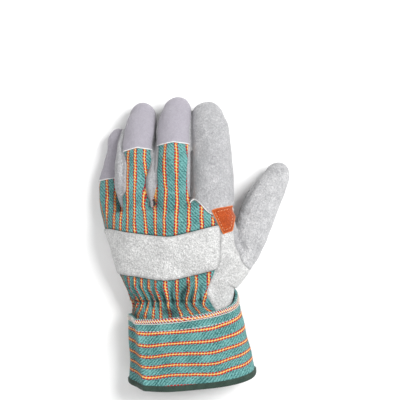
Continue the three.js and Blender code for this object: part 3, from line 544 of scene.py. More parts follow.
def border(triangles):
    """Edges that only one triangle has, as it runs along them."""
    edges = np.vstack([triangles[:, [0, 1]], triangles[:, [1, 2]], triangles[:, [2, 0]]])
    key = np.sort(edges, 1)
    _, back, count = np.unique(key, axis=0, return_inverse=True, return_counts=True)
    return edges[count[back.ravel()] == 1]


def shown(points):
    """Millimetres in the hand's own place to metres in the frame."""
    return (points + SHIFT) * TO_METRES


def new_piece(name, points, faces, material, values=None, sharp=None):
    """A mesh object in the frame, riding on the glove, with one number for each point in each value."""
    mesh = bpy.data.meshes.new(name)
    faces = np.asarray(faces)
    sides = faces.shape[1]
    mesh.vertices.add(len(points))
    mesh.vertices.foreach_set("co", shown(points).astype(np.float32).ravel())
    mesh.loops.add(faces.size)
    mesh.loops.foreach_set("vertex_index", faces.astype(np.int32).ravel())
    mesh.polygons.add(len(faces))
    mesh.polygons.foreach_set("loop_start", np.arange(0, faces.size, sides, dtype=np.int32))
    mesh.update(calc_edges=True)
    mesh.validate()
    mesh.polygons.foreach_set("use_smooth", np.ones(len(mesh.polygons), bool))
    for key, column in (values or {}).items():
        mesh.attributes.new(key, "FLOAT", "POINT").data.foreach_set("value", column.astype(np.float32))
    if sharp is not None:
        edges = np.empty(len(mesh.edges) * 2, int)
        mesh.edges.foreach_get("vertices", edges)
        edges = np.sort(edges.reshape(-1, 2), 1)
        size = len(points) + 1
        hard = np.isin(edges[:, 0] * size + edges[:, 1], np.sort(sharp, 1) @ [size, 1])
        mesh.attributes.new("sharp_edge", "BOOLEAN", "EDGE").data.foreach_set("value", hard)
    piece = bpy.data.objects.new(name, mesh)
    bpy.context.scene.collection.objects.link(piece)
    piece.data.materials.append(material)
    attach(piece, "root")
    return piece


class Skin:
    """The glove's outer surface with its fields, cut once for every panel."""

    def __init__(self, voxel):
        points, quads = voxel_skin(voxel)
        points = relax(points, quads, 9)
        triangles = np.vstack([quads[:, :3], quads[:, [0, 2, 3]]])
        normal = normals_of(points, triangles)
        inside_cuff = 1 - smooth(points[:, 1], 14.0, 24.0)
        self.zone = zones(points)
        height = relief(points, normal)
        strap = self.zone["strap"]
        # Painted shade: the colour darkens where the relief sinks deepest, in the folds, gathers and dents, and a
        # painted shadow runs along the strap's edges.
        self.painted_shade = np.maximum(smooth(-height, 1.1, 3.4), 1.5 * smooth(-strap, 2.0, 0.0) * smooth(strap, 0.8, 0.0))
        # Painted shade on the wrist cloth below the elastic, where it tucks in under the cuff's rim.
        shade_under_rim = smooth(-points[:, 1], 0.5, 7.0) * smooth(normal[:, 2], 0.1, 0.5)
        self.painted_shade = np.maximum(self.painted_shade, shade_under_rim * (0.45 + 0.6 * waves(points, 17.0, 41)))
        self.stripe = stripe_place(points)
        points = points + normal * height[:, None]
        points[:, 2] = np.maximum(points[:, 2], 0.3 + inside_cuff * 2.2)
        self.points, self.triangles = points, triangles
        self.normal = normals_of(points, triangles)
        self.run = points[:, 1]

    def panel(self, name, field, material, slot, lift=0.0, wall=1.4, dive=1.2, dive_reach=1.8, raw=None,
              raw_lift=0.0, spread=0.7):
        """A wall of cloth or leather inside a field. Sewn edges dive into the seam, and raw ones stand up."""
        field = field + spread
        raw_far = np.full(len(field), 99.0) if raw is None else raw + spread
        columns = np.column_stack([self.points, self.normal, field, raw_far, self.stripe, self.run, self.painted_shade])
        columns, triangles = clip(columns, self.triangles, field)
        points, normal = columns[:, :3], unit(columns[:, 3:6])
        inside, raw_far, stripe, run, painted_shade = columns[:, 6:].T
        is_raw = smooth(1.2 - (raw_far - inside), 0, 1.2) if raw is not None else np.zeros(len(points))
        sunk = dive * (1 - smooth(inside, 0, dive_reach)) * (1 - is_raw)
        proud = raw_lift * (1 - smooth(raw_far, 2.0, 14.0)) if raw is not None else 0.0
        height = lift - sunk + proud
        outer = points + normal * height[:, None]
        inner = points + normal * (height - wall)[:, None]
        outer[:, 2] = np.maximum(outer[:, 2], 0.05)
        inner[:, 2] = np.maximum(inner[:, 2], 0.3)
        edge = border(triangles)
        count = len(points)
        rim = np.vstack([
            np.stack([edge[:, 0], edge[:, 0] + count, edge[:, 1] + count], 1),
            np.stack([edge[:, 0], edge[:, 1] + count, edge[:, 1]], 1)])
        faces = np.vstack([triangles, triangles[:, ::-1] + count, rim])
        pitch = np.abs(stripe_pitch(stripe, run))
        # seam is painted shade: it darkens the colour along the sewn edges, where the panel dives into the seam. The
        # skin's painted shade rides along too.
        values = {
            "stripe": np.tile(stripe, 2), "pitch": np.tile(pitch, 2), "run": np.tile(run, 2),
            "cut": np.append(np.where(is_raw > 0.5, 1 - smooth(raw_far, 0.0, 1.0), 0.0), np.where(is_raw > 0.5, 1.0, 0.0)),
            "seam": np.tile(1 - smooth(inside, 0.2, 2.6), 2), "painted_shade": np.tile(painted_shade, 2),
        }
        return new_piece(name, np.vstack([outer, inner]), faces, material, values, sharp=edge)


def stripe_pitch(stripe, run):
    """Millimetres from one stripe to the next, by their places at the knuckles and at the gathers."""
    numbers = np.arange(len(STRIPES[0]) - 1) + 0.5
    top = np.interp(stripe, numbers, np.diff(STRIPES[0]))
    low = np.interp(stripe, numbers, np.diff(STRIPES[1]))
    return low + (top - low) * smooth(run, STRIPES_AT[1], STRIPES_AT[0])


# Cuff: a band round the wrist, worked from its own sections.

def cuff_face(low, high, rows, columns, lift, shaped=True):
    """Points of the cuff's outer face between two distances from its top edge: rows by columns by 3."""
    top, axis = cuff_frame()
    share = np.linspace(low, high, rows) / CUFF_LENGTH
    table = eased(CUFF_ROWS, np.clip(share, 0, 1))
    angle = np.arange(columns) / columns * TURN
    cosine, sine = np.cos(angle), np.sin(angle)
    power = 2 / SQUARENESS["cuff"]
    across = np.sign(cosine) * np.abs(cosine) ** power
    over = np.sign(sine) * np.abs(sine) ** power
    side = np.cross(axis, [0.0, 0.0, 1.0])
    width, height = table[:, 1] * CUFF_WIDTH, table[:, 2] * CUFF_HEIGHT
    middle = top + axis * (share * CUFF_LENGTH)[:, None]
    middle[:, 2] = height / 2 - 0.03 * CUFF_HEIGHT
    slide = -CUFF_FLAP * np.maximum(0, np.cos(angle - math.radians(212)))[None] ** 3 * (1 - share)[:, None] ** 4
    slide = slide + (CUFF_SAG + (CUFF_END_SAG - CUFF_SAG) * share)[:, None] * np.maximum(0, sine)[None]
    slide = slide - CUFF_SKEW * share[:, None] * cosine[None]
    points = (middle[:, None] + side * (across[None] * width[:, None] / 2)[..., None]
              + np.array([0, 0, 1.0]) * (over[None] * height[:, None] / 2)[..., None] + axis * slide[..., None])
    along = np.gradient(points, axis=0) if rows > 1 else np.broadcast_to(axis, points.shape)
    round_way = np.roll(points, -1, 1) - np.roll(points, 1, 1)
    normal = unit(np.cross(along, round_way))
    outward = points - middle[:, None]
    normal *= np.sign((normal * outward).sum(-1, keepdims=True))
    height_up = np.full(points.shape[:2], float(lift))
    if shaped:
        height_up += cuff_relief(np.degrees(angle)[None], share[:, None], points)
    points = points + normal * height_up[..., None]
    points[..., 2] = np.maximum(points[..., 2], max(0.0, -lift))
    return points, normal, angle, share


def cuff_relief(angle, share, points):
    """Height of the crease, the waves and the sewn lines over the cuff's face, in millimetres."""
    crease = 37 + 9 * share
    height = 1.9 * fade(angle - crease, 9) + 1.0 * fade(angle - crease, 3.0) - 2.6 * fade(angle - crease + 20, 13)
    height = height - 1.4 * fade(angle - 80, 22) * smooth(share, 0.5, 1)
    height = height + 1.0 * waves(points.reshape(-1, 3), 40.0, 21).reshape(points.shape[:2])
    height = height + 0.2 * waves(points.reshape(-1, 3), 15.0, 22).reshape(points.shape[:2])
    far = share * CUFF_LENGTH
    return height - 0.35 * fade(far - 10.8, 0.7) + 0.5 * fade(far - OVERLOCK_WIDTH - 1.0, 1.6)


def band(name, low, high, rows, columns, lift, wall, material, bulge=0.0, values=None):
    """A closed band of the cuff. Its outer face bulges over its width where it is a rolled tape."""
    outer, normal, angle, share = cuff_face(low, high, rows, columns, lift)
    across = np.linspace(-1, 1, rows)[:, None, None]
    outer = outer + normal * bulge * (1 - across**2) ** 0.5
    outer[..., 2] = np.maximum(outer[..., 2], 0)
    inner, inner_normal, _, _ = cuff_face(low, high, max(rows // 3, 2), columns, lift - wall)
    inner[..., 2] = np.maximum(inner[..., 2], 0.4 if wall < 2 else 0.2)
    rings = np.vstack([outer, inner[::-1]])
    count = len(rings)
    index = np.arange(count * columns).reshape(count, columns)
    after, beside = np.roll(index, -1, 0), np.roll(index, -1, 1)
    faces = np.stack([index, after, np.roll(after, -1, 1), beside], -1).reshape(-1, 4)
    points = rings.reshape(-1, 3)
    far = np.concatenate([share, np.linspace(share[-1], share[0], count - rows)]) * CUFF_LENGTH
    length = np.repeat(far, columns)
    ring = outer[rows // 2]
    around = np.tile(np.append(0, np.cumsum(np.linalg.norm(np.diff(ring, axis=0), axis=1))), count)
    inside = np.repeat(np.arange(count) >= rows, columns).astype(float)
    stripe = np.interp(length, CUFF_STRIPES, np.arange(len(CUFF_STRIPES), dtype=float))
    stripe = np.where(length < CUFF_STRIPES[0], (length - CUFF_STRIPES[0]) / STRIPE_PITCH, stripe)
    stripe = np.where(length > CUFF_STRIPES[-1], len(CUFF_STRIPES) - 1 + (length - CUFF_STRIPES[-1]) / STRIPE_PITCH, stripe)
    stripe = stripe + 0.05 * waves(points, 30.0, 33)
    turn = np.tile(np.degrees(angle), count)
    on_back = smooth(turn, 30, 50) * smooth(-turn, -140, -110)
    stripe = stripe - 0.2 * on_back * length / CUFF_LENGTH * np.cos(np.radians(6 * (turn - 48)))
    # Painted shade on the cuff's left face, which turns away from the key light.
    shaded_left_face = smooth(turn, -5, 12) * smooth(-turn, -41 - 9 * length / CUFF_LENGTH, -33 - 9 * length / CUFF_LENGTH)
    found = {"stripe": stripe, "pitch": np.full(len(points), STRIPE_PITCH), "run": around, "inside": inside,
             "painted_shade": 0.4 * shaded_left_face,
             "across": np.concatenate([np.repeat(np.linspace(-1, 1, rows), columns),
                                       np.repeat(np.linspace(1, -1, count - rows), columns)])}
    if signed_volume(points, faces) < 0:
        faces = faces[:, ::-1]
    return new_piece(name, points, faces, material, found)


def signed_volume(points, quads):
    one, two, three, four = (points[quads[:, i]] for i in range(4))
    return (np.cross(two - one, three - one) * one).sum() + (np.cross(three - one, four - one) * one).sum()


# Thread: short rounded stitches laid along a line of points.

def stitch_shape(sides=6, rings=6):
    """One stitch along X from 0 to 1, with a radius of 1 about its line, as points and quads."""
    share = (1 - np.cos(np.linspace(0, math.pi, rings))) / 2
    swell = np.sqrt(np.clip(1 - (2 * share - 1) ** 4, 0.02, 1))
    angle = np.arange(sides) / sides * TURN
    points = np.stack([np.repeat(share, sides), (swell[:, None] * np.cos(angle)).ravel(),
                       (swell[:, None] * np.sin(angle)).ravel()], 1)
    faces = [(r * sides + i, r * sides + (i + 1) % sides, (r + 1) * sides + (i + 1) % sides, (r + 1) * sides + i)
             for r in range(rings - 1) for i in range(sides)]
    ends = [tuple(range(sides))[::-1], tuple((rings - 1) * sides + i for i in range(sides))]
    tris = [(end[0], end[i], end[i + 1]) for end in ends for i in range(1, sides - 1)]
    return points, np.array(faces), np.array(tris)


def sew(name, pairs, radius, material, rise=0.35):
    """Stitches as one piece. pairs are rows of from x, y, z, to x, y, z and the surface's normal."""
    pairs = np.array(pairs, float)
    pairs[:, [2, 5]] = np.maximum(pairs[:, [2, 5]], radius + rise)
    shape, quads, tris = stitch_shape()
    start, end, normal = pairs[:, :3], pairs[:, 3:6], unit(pairs[:, 6:9])
    along = end - start
    side = unit(np.cross(normal, along))
    up = unit(np.cross(along, side))
    share = shape[:, 0]
    arch = rise * np.sin(share * math.pi) - 0.1
    points = (start[:, None] + along[:, None] * share[None, :, None]
              + side[:, None] * (shape[:, 1] * radius)[None, :, None]
              + up[:, None] * (shape[:, 2] * radius * 0.8 + arch)[None, :, None]).reshape(-1, 3)
    step = (np.arange(len(pairs)) * len(shape))[:, None, None]
    flat = np.vstack([quads[:, :3], quads[:, [0, 2, 3]], tris])
    faces = (step + flat[None]).reshape(-1, 3)
    twist = np.tile(shape[:, 0], len(pairs))
    return new_piece(name, points, faces, material, {"run": twist})


class Surface:
    """Finds the outside of pieces from straight above or below, in millimetres."""

    def __init__(self, *pieces):
        points, faces, start = [], [], 0
        for piece in pieces:
            mesh = piece.data
            count = len(mesh.vertices)
            place = np.empty(count * 3)
            mesh.vertices.foreach_get("co", place)
            points.append(place.reshape(-1, 3) / TO_METRES - SHIFT)
            faces += [[start + i for i in polygon.vertices] for polygon in mesh.polygons]
            start += count
        self.tree = BVHTree.FromPolygons(np.vstack(points).tolist(), faces)

    def point(self, x, y, below=False):
        high = Vector((x, y, -90.0 if below else 140.0))
        place, normal, _, _ = self.tree.ray_cast(high, Vector((0, 0, 1.0 if below else -1.0)))
        return None if place is None else (np.array(place), np.array(normal))


def spaced(line, step):
    """Points at even steps along a line of corners."""
    line = np.asarray(line, float)
    length = np.append(0, np.cumsum(np.linalg.norm(np.diff(line, axis=0), axis=1)))
    places = np.arange(0, length[-1], step)
    return np.stack([np.interp(places, length, line[:, k]) for k in range(line.shape[1])], 1)


def seam_pairs(surface, line, pitch, length, below=False, lift=0.0):
    """Stitches of a length along a line seen from above, dropped on to a surface."""
    pairs = []
    half = spaced(line, pitch / 2)
    for start, end in zip(half[::2], half[1::2]):
        end = start + (end - start) * (length / (pitch / 2))
        found = [surface.point(x, y, below) for x, y in (start, end)]
        if None in found or abs(found[0][0][2] - found[1][0][2]) > length:
            continue
        normal = found[0][1] + found[1][1]
        normal *= np.sign(normal[2]) * (-1 if below else 1)
        pairs.append([*(found[0][0] + unit(normal) * lift), *(found[1][0] + unit(normal) * lift), *normal])
    return pairs


# Finishes

def shade(red, green, blue):
    """A screen colour, 0 to 255, as the shader's own numbers."""
    return [((c / 255 + 0.055) / 1.055) ** 2.4 if c > 10 else c / 255 / 12.92 for c in (red, green, blue)] + [1.0]


class Number:
    """A value on the surface. Python's operators on it add Math nodes."""

    def __init__(self, finish, socket):
        self.finish, self.socket = finish, socket

    def maths(self, operation, *values):
        node = self.finish.add("ShaderNodeMath", {"operation": operation}, dict(enumerate(values)))
        return Number(self.finish, node.outputs[0])

    def __add__(self, other):
        return self.maths("ADD", self, other)

    __radd__ = __add__

    def __sub__(self, other):
        return self.maths("SUBTRACT", self, other)

    def __rsub__(self, other):
        return self.maths("SUBTRACT", other, self)

    def __mul__(self, other):
        return self.maths("MULTIPLY", self, other)

    __rmul__ = __mul__

    def __truediv__(self, other):
        return self.maths("DIVIDE", self, other)

    def __abs__(self):
        return self.maths("ABSOLUTE", self)

    def fraction(self):
        return self.maths("FRACT", self)

    def root(self):
        return self.maths("SQRT", self)

    def sine(self):
        return self.maths("SINE", self)

    def sign(self):
        return self.maths("SIGN", self)

    def most(self, other):
        return self.maths("MAXIMUM", self, other)

    def between(self, low, high):
        """0 below low, 1 above high and eased between them. It falls where low is above high."""
        node = self.finish.add("ShaderNodeMapRange", {"interpolation_type": "SMOOTHSTEP"}, {
            "Value": self, "From Min": min(low, high), "From Max": max(low, high),
            "To Min": float(low > high), "To Max": float(low <= high)})
        return Number(self.finish, node.outputs["Result"])


class Finish:
    """A procedural material with one principled shader."""

    def __init__(self, name, **sockets):
        self.material = bpy.data.materials.new(name)
        self.material.use_nodes = True
        self.tree = self.material.node_tree
        self.tree.nodes.clear()
        self.surface = self.add("ShaderNodeBsdfPrincipled", None, sockets)
        self.add("ShaderNodeOutputMaterial", None, {"Surface": self.surface.outputs[0]})
        self.place = self.add("ShaderNodeTexCoord").outputs["Object"]

    def add(self, kind, settings=None, inputs=None):
        """A node with its settings, and the values or links of its sockets."""
        node = self.tree.nodes.new(kind)
        for key, value in (settings or {}).items():
            setattr(node, key, value)
        for key, value in (inputs or {}).items():
            if isinstance(value, (Number, bpy.types.NodeSocket)):
                self.tree.links.new(getattr(value, "socket", value), node.inputs[key])
            else:
                node.inputs[key].default_value = value
        return node

    def attribute(self, name):
        node = self.add("ShaderNodeAttribute", {"attribute_name": name})
        return Number(self, node.outputs["Fac"])

    def noise(self, size, detail=2.0, rough=0.5, stretch=(1, 1, 1)):
        """Soft random values from 0 to 1, with spots of a size in millimetres."""
        place = self.place
        if stretch != (1, 1, 1):
            place = self.add("ShaderNodeVectorMath", {"operation": "MULTIPLY"}, {0: place, 1: stretch}).outputs[0]
        node = self.add("ShaderNodeTexNoise", None, {
            "Vector": place, "Scale": 1 / (size * TO_METRES), "Detail": detail, "Roughness": rough})
        return Number(self, node.outputs["Fac"])

    def cells(self, size):
        node = self.add("ShaderNodeTexVoronoi", None, {"Vector": self.place, "Scale": 1 / (size * TO_METRES)})
        return Number(self, node.outputs["Distance"])

    def blend(self, factor, one, two, kind="MIX"):
        node = self.add("ShaderNodeMix", {"data_type": "RGBA", "blend_type": kind}, {0: factor, 6: one, 7: two})
        return node.outputs[2]

    def finish(self, colour, rough, height, depth, strength=1.0):
        """Feeds the shader and hands the material back. depth is the bump's full height in millimetres."""
        bump = self.add("ShaderNodeBump", None, {"Strength": strength, "Distance": depth * TO_METRES, "Height": height})
        for key, value in {"Base Color": colour, "Roughness": rough}.items():
            self.tree.links.new(getattr(value, "socket", value), self.surface.inputs[key])
        self.tree.links.new(bump.outputs[0], self.surface.inputs["Normal"])
        return self.material


def split_leather(name, main, worn, nap_low_and_shade, grain=1.0, cut=None):
    """Suede side of split leather: short matted nap in low ridges, rubbed spots and raw cut edges, with painted shade
    along the seams and in the folds.
    """
    f = Finish(name, **{"Sheen Weight": 0.25, "Sheen Roughness": 0.5, "Specular IOR Level": 0.12})
    fibre = f.noise(0.5, 3.0, 0.65)
    nap = f.noise(1.5, 3.0, 0.65, (1.0, 0.75, 1.0))
    ridge = abs(f.noise(3.1, 2.0, 0.5) - 0.5).between(0.0, 0.14)
    speck = f.noise(0.85, 2.0, 0.5)
    blotch = f.noise(6.5, 3.0, 0.6)
    cloud = f.noise(26.0, 2.0, 0.5)
    tone = (nap - 0.5) * 1.0 + (speck - 0.5) * 0.9 + (fibre - 0.5) * 0.7 + (blotch - 0.5) * 0.3 + (cloud - 0.5) * 0.5
    tone = tone * grain + (ridge - 0.7) * 0.12
    colour = f.blend((tone + 0.55).between(0.0, 1.0), nap_low_and_shade, main)
    colour = f.blend((tone - 0.1).between(0.0, 0.55), colour, worn)
    # Painted shade along the seams and in the folds, at the strap's edges and under the cuff's rim.
    colour = f.blend(f.attribute("seam") * 0.5, colour, nap_low_and_shade)
    colour = f.blend(f.attribute("painted_shade") * 0.3, colour, nap_low_and_shade)
    colour = f.blend(f.attribute("cut") * (fibre * 0.5 + 0.7), colour, cut or worn)
    height = fibre * 0.35 + nap * 0.8 + ridge * 0.16 + speck * 0.45 + blotch * 0.4
    return f.finish(colour, 0.84 + (fibre - 0.5) * 0.25, height, 1.0 * grain, 1.0)


def striped_cloth(name, ground, light, yellow, red, dash, twill):
    """Twill with lengthwise stripes: a yellow core with broken red threads on both sides, and painted shade along the
    seams and in the folds.
    """
    f = Finish(name, **{"Sheen Weight": 0.1, "Sheen Roughness": 0.5, "Specular IOR Level": 0.15})
    stripe, run = f.attribute("stripe"), f.attribute("run")
    wander = (f.noise(3.0, 1.0) - 0.5) * 0.3
    off = ((stripe + 0.5).fraction() - 0.5) * (f.attribute("pitch") * STRIPE_PITCH).root() + wander
    away = abs(off)
    across = stripe * STRIPE_PITCH
    rib = ((across + run) * (TURN / twill / math.sqrt(2)) + (f.noise(4.0, 1.0) - 0.5) * 3.0).sine() * 0.5 + 0.5
    yarn = (across * (TURN / 0.62)).sine() * 0.5 + 0.5
    fibre = f.noise(0.45, 3.0, 0.7)
    speck = f.noise(1.0, 2.0, 0.6)
    fade_out = f.noise(15.0, 3.0, 0.55)
    tone = rib * 0.36 + (speck - 0.5) * 1.7 + (fibre - 0.5) * 0.8 + (fade_out - 0.5) * 0.8 + 0.3
    base = f.blend(tone.between(0.0, 1.0), ground, light)
    core = away.between(0.76, 0.5)
    beat = (run / dash + off.sign() * 0.12).fraction()
    beside = away.between(0.44, 0.66) * away.between(1.9, 1.6)
    thread = beside * (abs(beat - 0.5).between(0.4, 0.3) * 0.9 + 0.1)
    gloss = (speck - 0.35 + (abs(beat - 0.5) - 0.2) * 1.1).between(0.0, 0.3)
    colour = f.blend(core, base, f.blend(gloss, shade(222, 132, 60), yellow))
    colour = f.blend(thread, colour, red)
    # Painted shade: dark teal along the seams and in the folds, at the strap's edges, under the cuff's rim and on the
    # cuff's left face.
    colour = f.blend(f.attribute("seam") * 0.35, colour, shade(20, 44, 44))
    colour = f.blend(f.attribute("painted_shade") * 0.5, colour, shade(16, 30, 32))
    height = rib * 0.7 + yarn * 0.2 + fibre * 0.4 + speck * 0.5 + (core + thread) * 0.5
    return f.finish(colour, 0.86 + (fibre - 0.5) * 0.2, height, 0.5, 1.0)


def bound_tape(name, dark, light):
    """Woven edge tape: fine ribs across it, with worn high threads."""
    f = Finish(name, **{"Sheen Weight": 0.1, "Specular IOR Level": 0.25})
    rib = (f.attribute("run") * (TURN / 1.05)).sine() * 0.5 + 0.5
    fibre, patch = f.noise(0.45, 3.0, 0.65), f.noise(7.0, 2.0)
    colour = f.blend((rib * 0.35 + (fibre - 0.5) * 0.6 + (patch - 0.5) * 0.6 + 0.25).between(0.0, 1.0), dark, light)
    return f.finish(colour, 0.78 + (fibre - 0.5) * 0.2, rib * 0.7 + fibre * 0.5, 0.25, 0.8)


def spun_thread(name, main, dark):
    """Two-ply thread: its twist runs along every stitch."""
    f = Finish(name, **{"Sheen Weight": 0.15, "Specular IOR Level": 0.25})
    ply = (f.attribute("run") * (TURN * 3.5)).sine() * 0.5 + 0.5
    fibre = f.noise(0.25, 2.0)
    colour = f.blend((ply * 0.5 + fibre * 0.6).between(0.1, 0.75), dark, main)
    return f.finish(colour, 0.72 + (fibre - 0.5) * 0.2, ply + fibre * 0.4, 0.12, 0.7)


def plain_floor(name, colour):
    f = Finish(name, **{"Specular IOR Level": 0.1})
    grain = f.noise(1.5, 2.0)
    tint = [c * 0.985 for c in colour[:3]] + [1.0]
    return f.finish(f.blend(grain, tint, colour), 0.9 + (grain - 0.5) * 0.04, grain, 0.02, 0.2)


# Settings and operators

def colour_property(name, words, *colour):
    return FloatVectorProperty(name=name, description=words, subtype="COLOR", size=4, min=0.0, max=1.0,
                               default=shade(*colour))


class GloveSizes(bpy.types.PropertyGroup):
    detail: FloatProperty(name="Detail", description="Distance between points of the skin", default=0.0009,
                          min=0.0004, max=0.004, unit="LENGTH", subtype="DISTANCE", precision=4)
    leather: FloatProperty(name="Leather", description="Thickness of the leather", default=0.0018, min=0.0008,
                           max=0.003, unit="LENGTH", subtype="DISTANCE", precision=4)
    cloth: FloatProperty(name="Cloth", description="Thickness of the back cloth", default=0.0012, min=0.0005,
                         max=0.003, unit="LENGTH", subtype="DISTANCE", precision=4)
    overlay: FloatProperty(name="Patch", description="Thickness of the strap and the patches", default=0.0013,
                           min=0.0005, max=0.003, unit="LENGTH", subtype="DISTANCE", precision=4)
    stitch: FloatProperty(name="Stitch", description="Distance from one stitch to the next", default=0.0034,
                          min=0.001, max=0.01, unit="LENGTH", subtype="DISTANCE", precision=4)
    cuff_columns: IntProperty(name="Cuff detail", description="Points round the cuff", default=420, min=60, max=900)
    overlock_threads: IntProperty(name="Overlock threads", description="Slanted threads over the cuff's top edge",
                                  default=118, min=20, max=400)


class GloveColours(bpy.types.PropertyGroup):
    leather: colour_property("Leather", "Light grey split leather", 226, 226, 225)
    leather_worn: colour_property("Worn leather", "High spots of the nap", 244, 244, 243)
    # Leather shade tints the nap's low spots and is also the painted shade along the seams and in the folds.
    leather_low_and_shade: colour_property("Leather shade", "Low spots of the nap", 168, 168, 168)
    finger: colour_property("Finger leather", "Index finger and the strips between the fingers", 190, 190, 192)
    # Finger shade tints the low spots and is also the painted shade along the seams and in the folds.
    finger_low_and_shade: colour_property("Finger shade", "Low spots on the fingers", 142, 142, 145)
    # The thumb's leather is the grey leather darkened, partly as painted shade against the strong key light on the
    # thumb's right side.
    thumb: colour_property("Thumb leather", "Thumb", 206, 206, 207)
    cap: colour_property("Cap leather", "Fingertip caps", 172, 168, 177)
    cap_worn: colour_property("Worn cap", "High spots on the caps", 190, 187, 196)
    # Cap shade tints the caps' low spots and is also the painted shade along the seams and in the folds.
    cap_low_and_shade: colour_property("Cap shade", "Low spots on the caps", 146, 142, 151)
    orange: colour_property("Orange leather", "Patches", 192, 84, 34)
    orange_worn: colour_property("Worn orange", "High spots of the patches", 222, 126, 66)
    # Orange shade tints the patches' low spots and is also the painted shade along the seams and in the folds.
    orange_low_and_shade: colour_property("Orange shade", "Low spots of the patches", 140, 56, 20)
    teal: colour_property("Teal", "Ground of the cloth", 40, 92, 92)
    teal_light: colour_property("Light teal", "Raised threads of the cloth", 122, 180, 177)
    yellow: colour_property("Stripe", "Core of each stripe", 250, 200, 116)
    red: colour_property("Stripe threads", "Broken threads beside each core", 176, 26, 32)
    binding: colour_property("Binding", "Tape along the cuff's end", 26, 42, 35)
    binding_light: colour_property("Binding threads", "Raised threads of the tape", 66, 86, 76)
    thread: colour_property("Thread", "Sewing thread", 236, 234, 230)
    thread_orange: colour_property("Orange thread", "Thread on the small patch", 236, 180, 134)
    floor: colour_property("Floor", "Surface under the glove", 250, 250, 250)


BUILT = {}


def finish_of(name):
    """Each finish, made the first time that a piece asks for it."""
    c = bpy.context.scene.glove_colours
    recipes = {
        "grey_leather": lambda: split_leather("grey_split_leather", c.leather, c.leather_worn, c.leather_low_and_shade, 1.25),
        "cap_leather": lambda: split_leather("cap_split_leather", c.cap, c.cap_worn, c.cap_low_and_shade, 0.55, c.leather_worn),
        "finger_leather": lambda: split_leather("finger_split_leather", c.finger, c.leather, c.finger_low_and_shade, 1.0,
                                                c.leather_worn),
        # The thumb's darker leather is partly painted shade.
        "thumb_leather": lambda: split_leather("thumb_split_leather", c.thumb, c.leather_worn, c.finger_low_and_shade, 1.0,
                                               c.leather_worn),
        "orange_leather": lambda: split_leather("orange_split_leather", c.orange, c.orange_worn, c.orange_low_and_shade, 1.0,
                                                c.orange_worn),
        "striped_cloth": lambda: striped_cloth("striped_twill", c.teal, c.teal_light, c.yellow, c.red, 2.7, 2.2),
        "binding": lambda: bound_tape("binding_tape", c.binding, c.binding_light),
        "patch_thread": lambda: spun_thread("orange_thread", c.thread_orange, shade(196, 118, 70)),
        "thread": lambda: spun_thread("white_thread", c.thread, shade(188, 178, 166)),
    }
    if name not in BUILT:
        BUILT[name] = recipes[name]()
    return BUILT[name]


def skin():
    if "skin" not in BUILT:
        BUILT["skin"] = Skin(bpy.context.scene.glove_sizes.detail / TO_METRES)
    return BUILT["skin"]


def millimetres(name):
    return getattr(bpy.context.scene.glove_sizes, name) / TO_METRES


class GloveOperator:
    bl_options = {"REGISTER", "UNDO"}

    def execute(self, context):
        self.build()
        return {"FINISHED"}


class BackCloth(GloveOperator, bpy.types.Operator):
    """Striped cloth over the back of the hand and three fingers, gathered at the wrist"""
    bl_idname, bl_label = "glove.back_cloth", "Back cloth"

    def build(self):
        piece = skin().panel("back_cloth", skin().zone["cloth"], finish_of("striped_cloth"), "striped_cloth",
                             lift=-0.2, wall=millimetres("cloth"), dive=1.3, dive_reach=2.4, spread=0.9)
        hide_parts("back_fabric")
        BUILT["back_cloth"] = piece


class FingerCaps(GloveOperator, bpy.types.Operator):
    """Leather caps over the backs of three fingertips, with raised cut edges"""
    bl_idname, bl_label = "glove.finger_caps", "Finger caps"

    def build(self):
        for name in CAPPED:
            piece = skin().panel(f"fingertip_{name}", skin().zone[f"cap_{name}"], finish_of("cap_leather"),
                                 "grey_leather", lift=0.1, wall=millimetres("leather"), dive=1.1, dive_reach=2.2,
                                 raw=skin().zone[f"line_{name}"], raw_lift=0.9, spread=0.5)
            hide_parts(f"cap_{name}")


class FingerFronts(GloveOperator, bpy.types.Operator):
    """Leather fronts of three fingers with the strips between the fingers"""
    bl_idname, bl_label = "glove.finger_fronts", "Finger fronts"

    def build(self):
        for name in CAPPED:
            piece = skin().panel(f"finger_leather_{name}", skin().zone[f"front_{name}"], finish_of("finger_leather"),
                                 "grey_leather", lift=0.15, wall=millimetres("leather"), dive=1.2, dive_reach=2.2)
            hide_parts(f"front_{name}")


class IndexFinger(GloveOperator, bpy.types.Operator):
    """All-leather index finger whose lower edge on the back is cut raw"""
    bl_idname, bl_label = "glove.index_finger", "Index finger"

    def build(self):
        zone = skin().zone
        raw = np.where(zone["above"] > 0, zone["beyond"], 99.0)
        piece = skin().panel("index_leather", zone["index"], finish_of("finger_leather"), "grey_leather", lift=0.15,
                             wall=millimetres("leather"), dive=1.2, dive_reach=2.2, raw=raw, raw_lift=0.7, spread=0.6)
        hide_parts("index_finger")


class PalmLeather(GloveOperator, bpy.types.Operator):
    """Leather of the palm, which comes round on to the back at the thumb side"""
    bl_idname, bl_label = "glove.palm_leather", "Palm leather"

    def build(self):
        piece = skin().panel("palm_side", skin().zone["palm"], finish_of("grey_leather"), "grey_leather", lift=0.1,
                             wall=millimetres("leather"), dive=1.2, dive_reach=2.4)
        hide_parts("palm_leather")
        BUILT["palm"] = piece


class Thumb(GloveOperator, bpy.types.Operator):
    """Leaf-shaped leather thumb"""
    bl_idname, bl_label = "glove.thumb", "Thumb"

    def build(self):
        piece = skin().panel("thumb_leather", skin().zone["thumb"], finish_of("thumb_leather"), "grey_leather",
                             lift=0.15, wall=millimetres("leather"), dive=1.2, dive_reach=2.4)
        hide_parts("thumb")


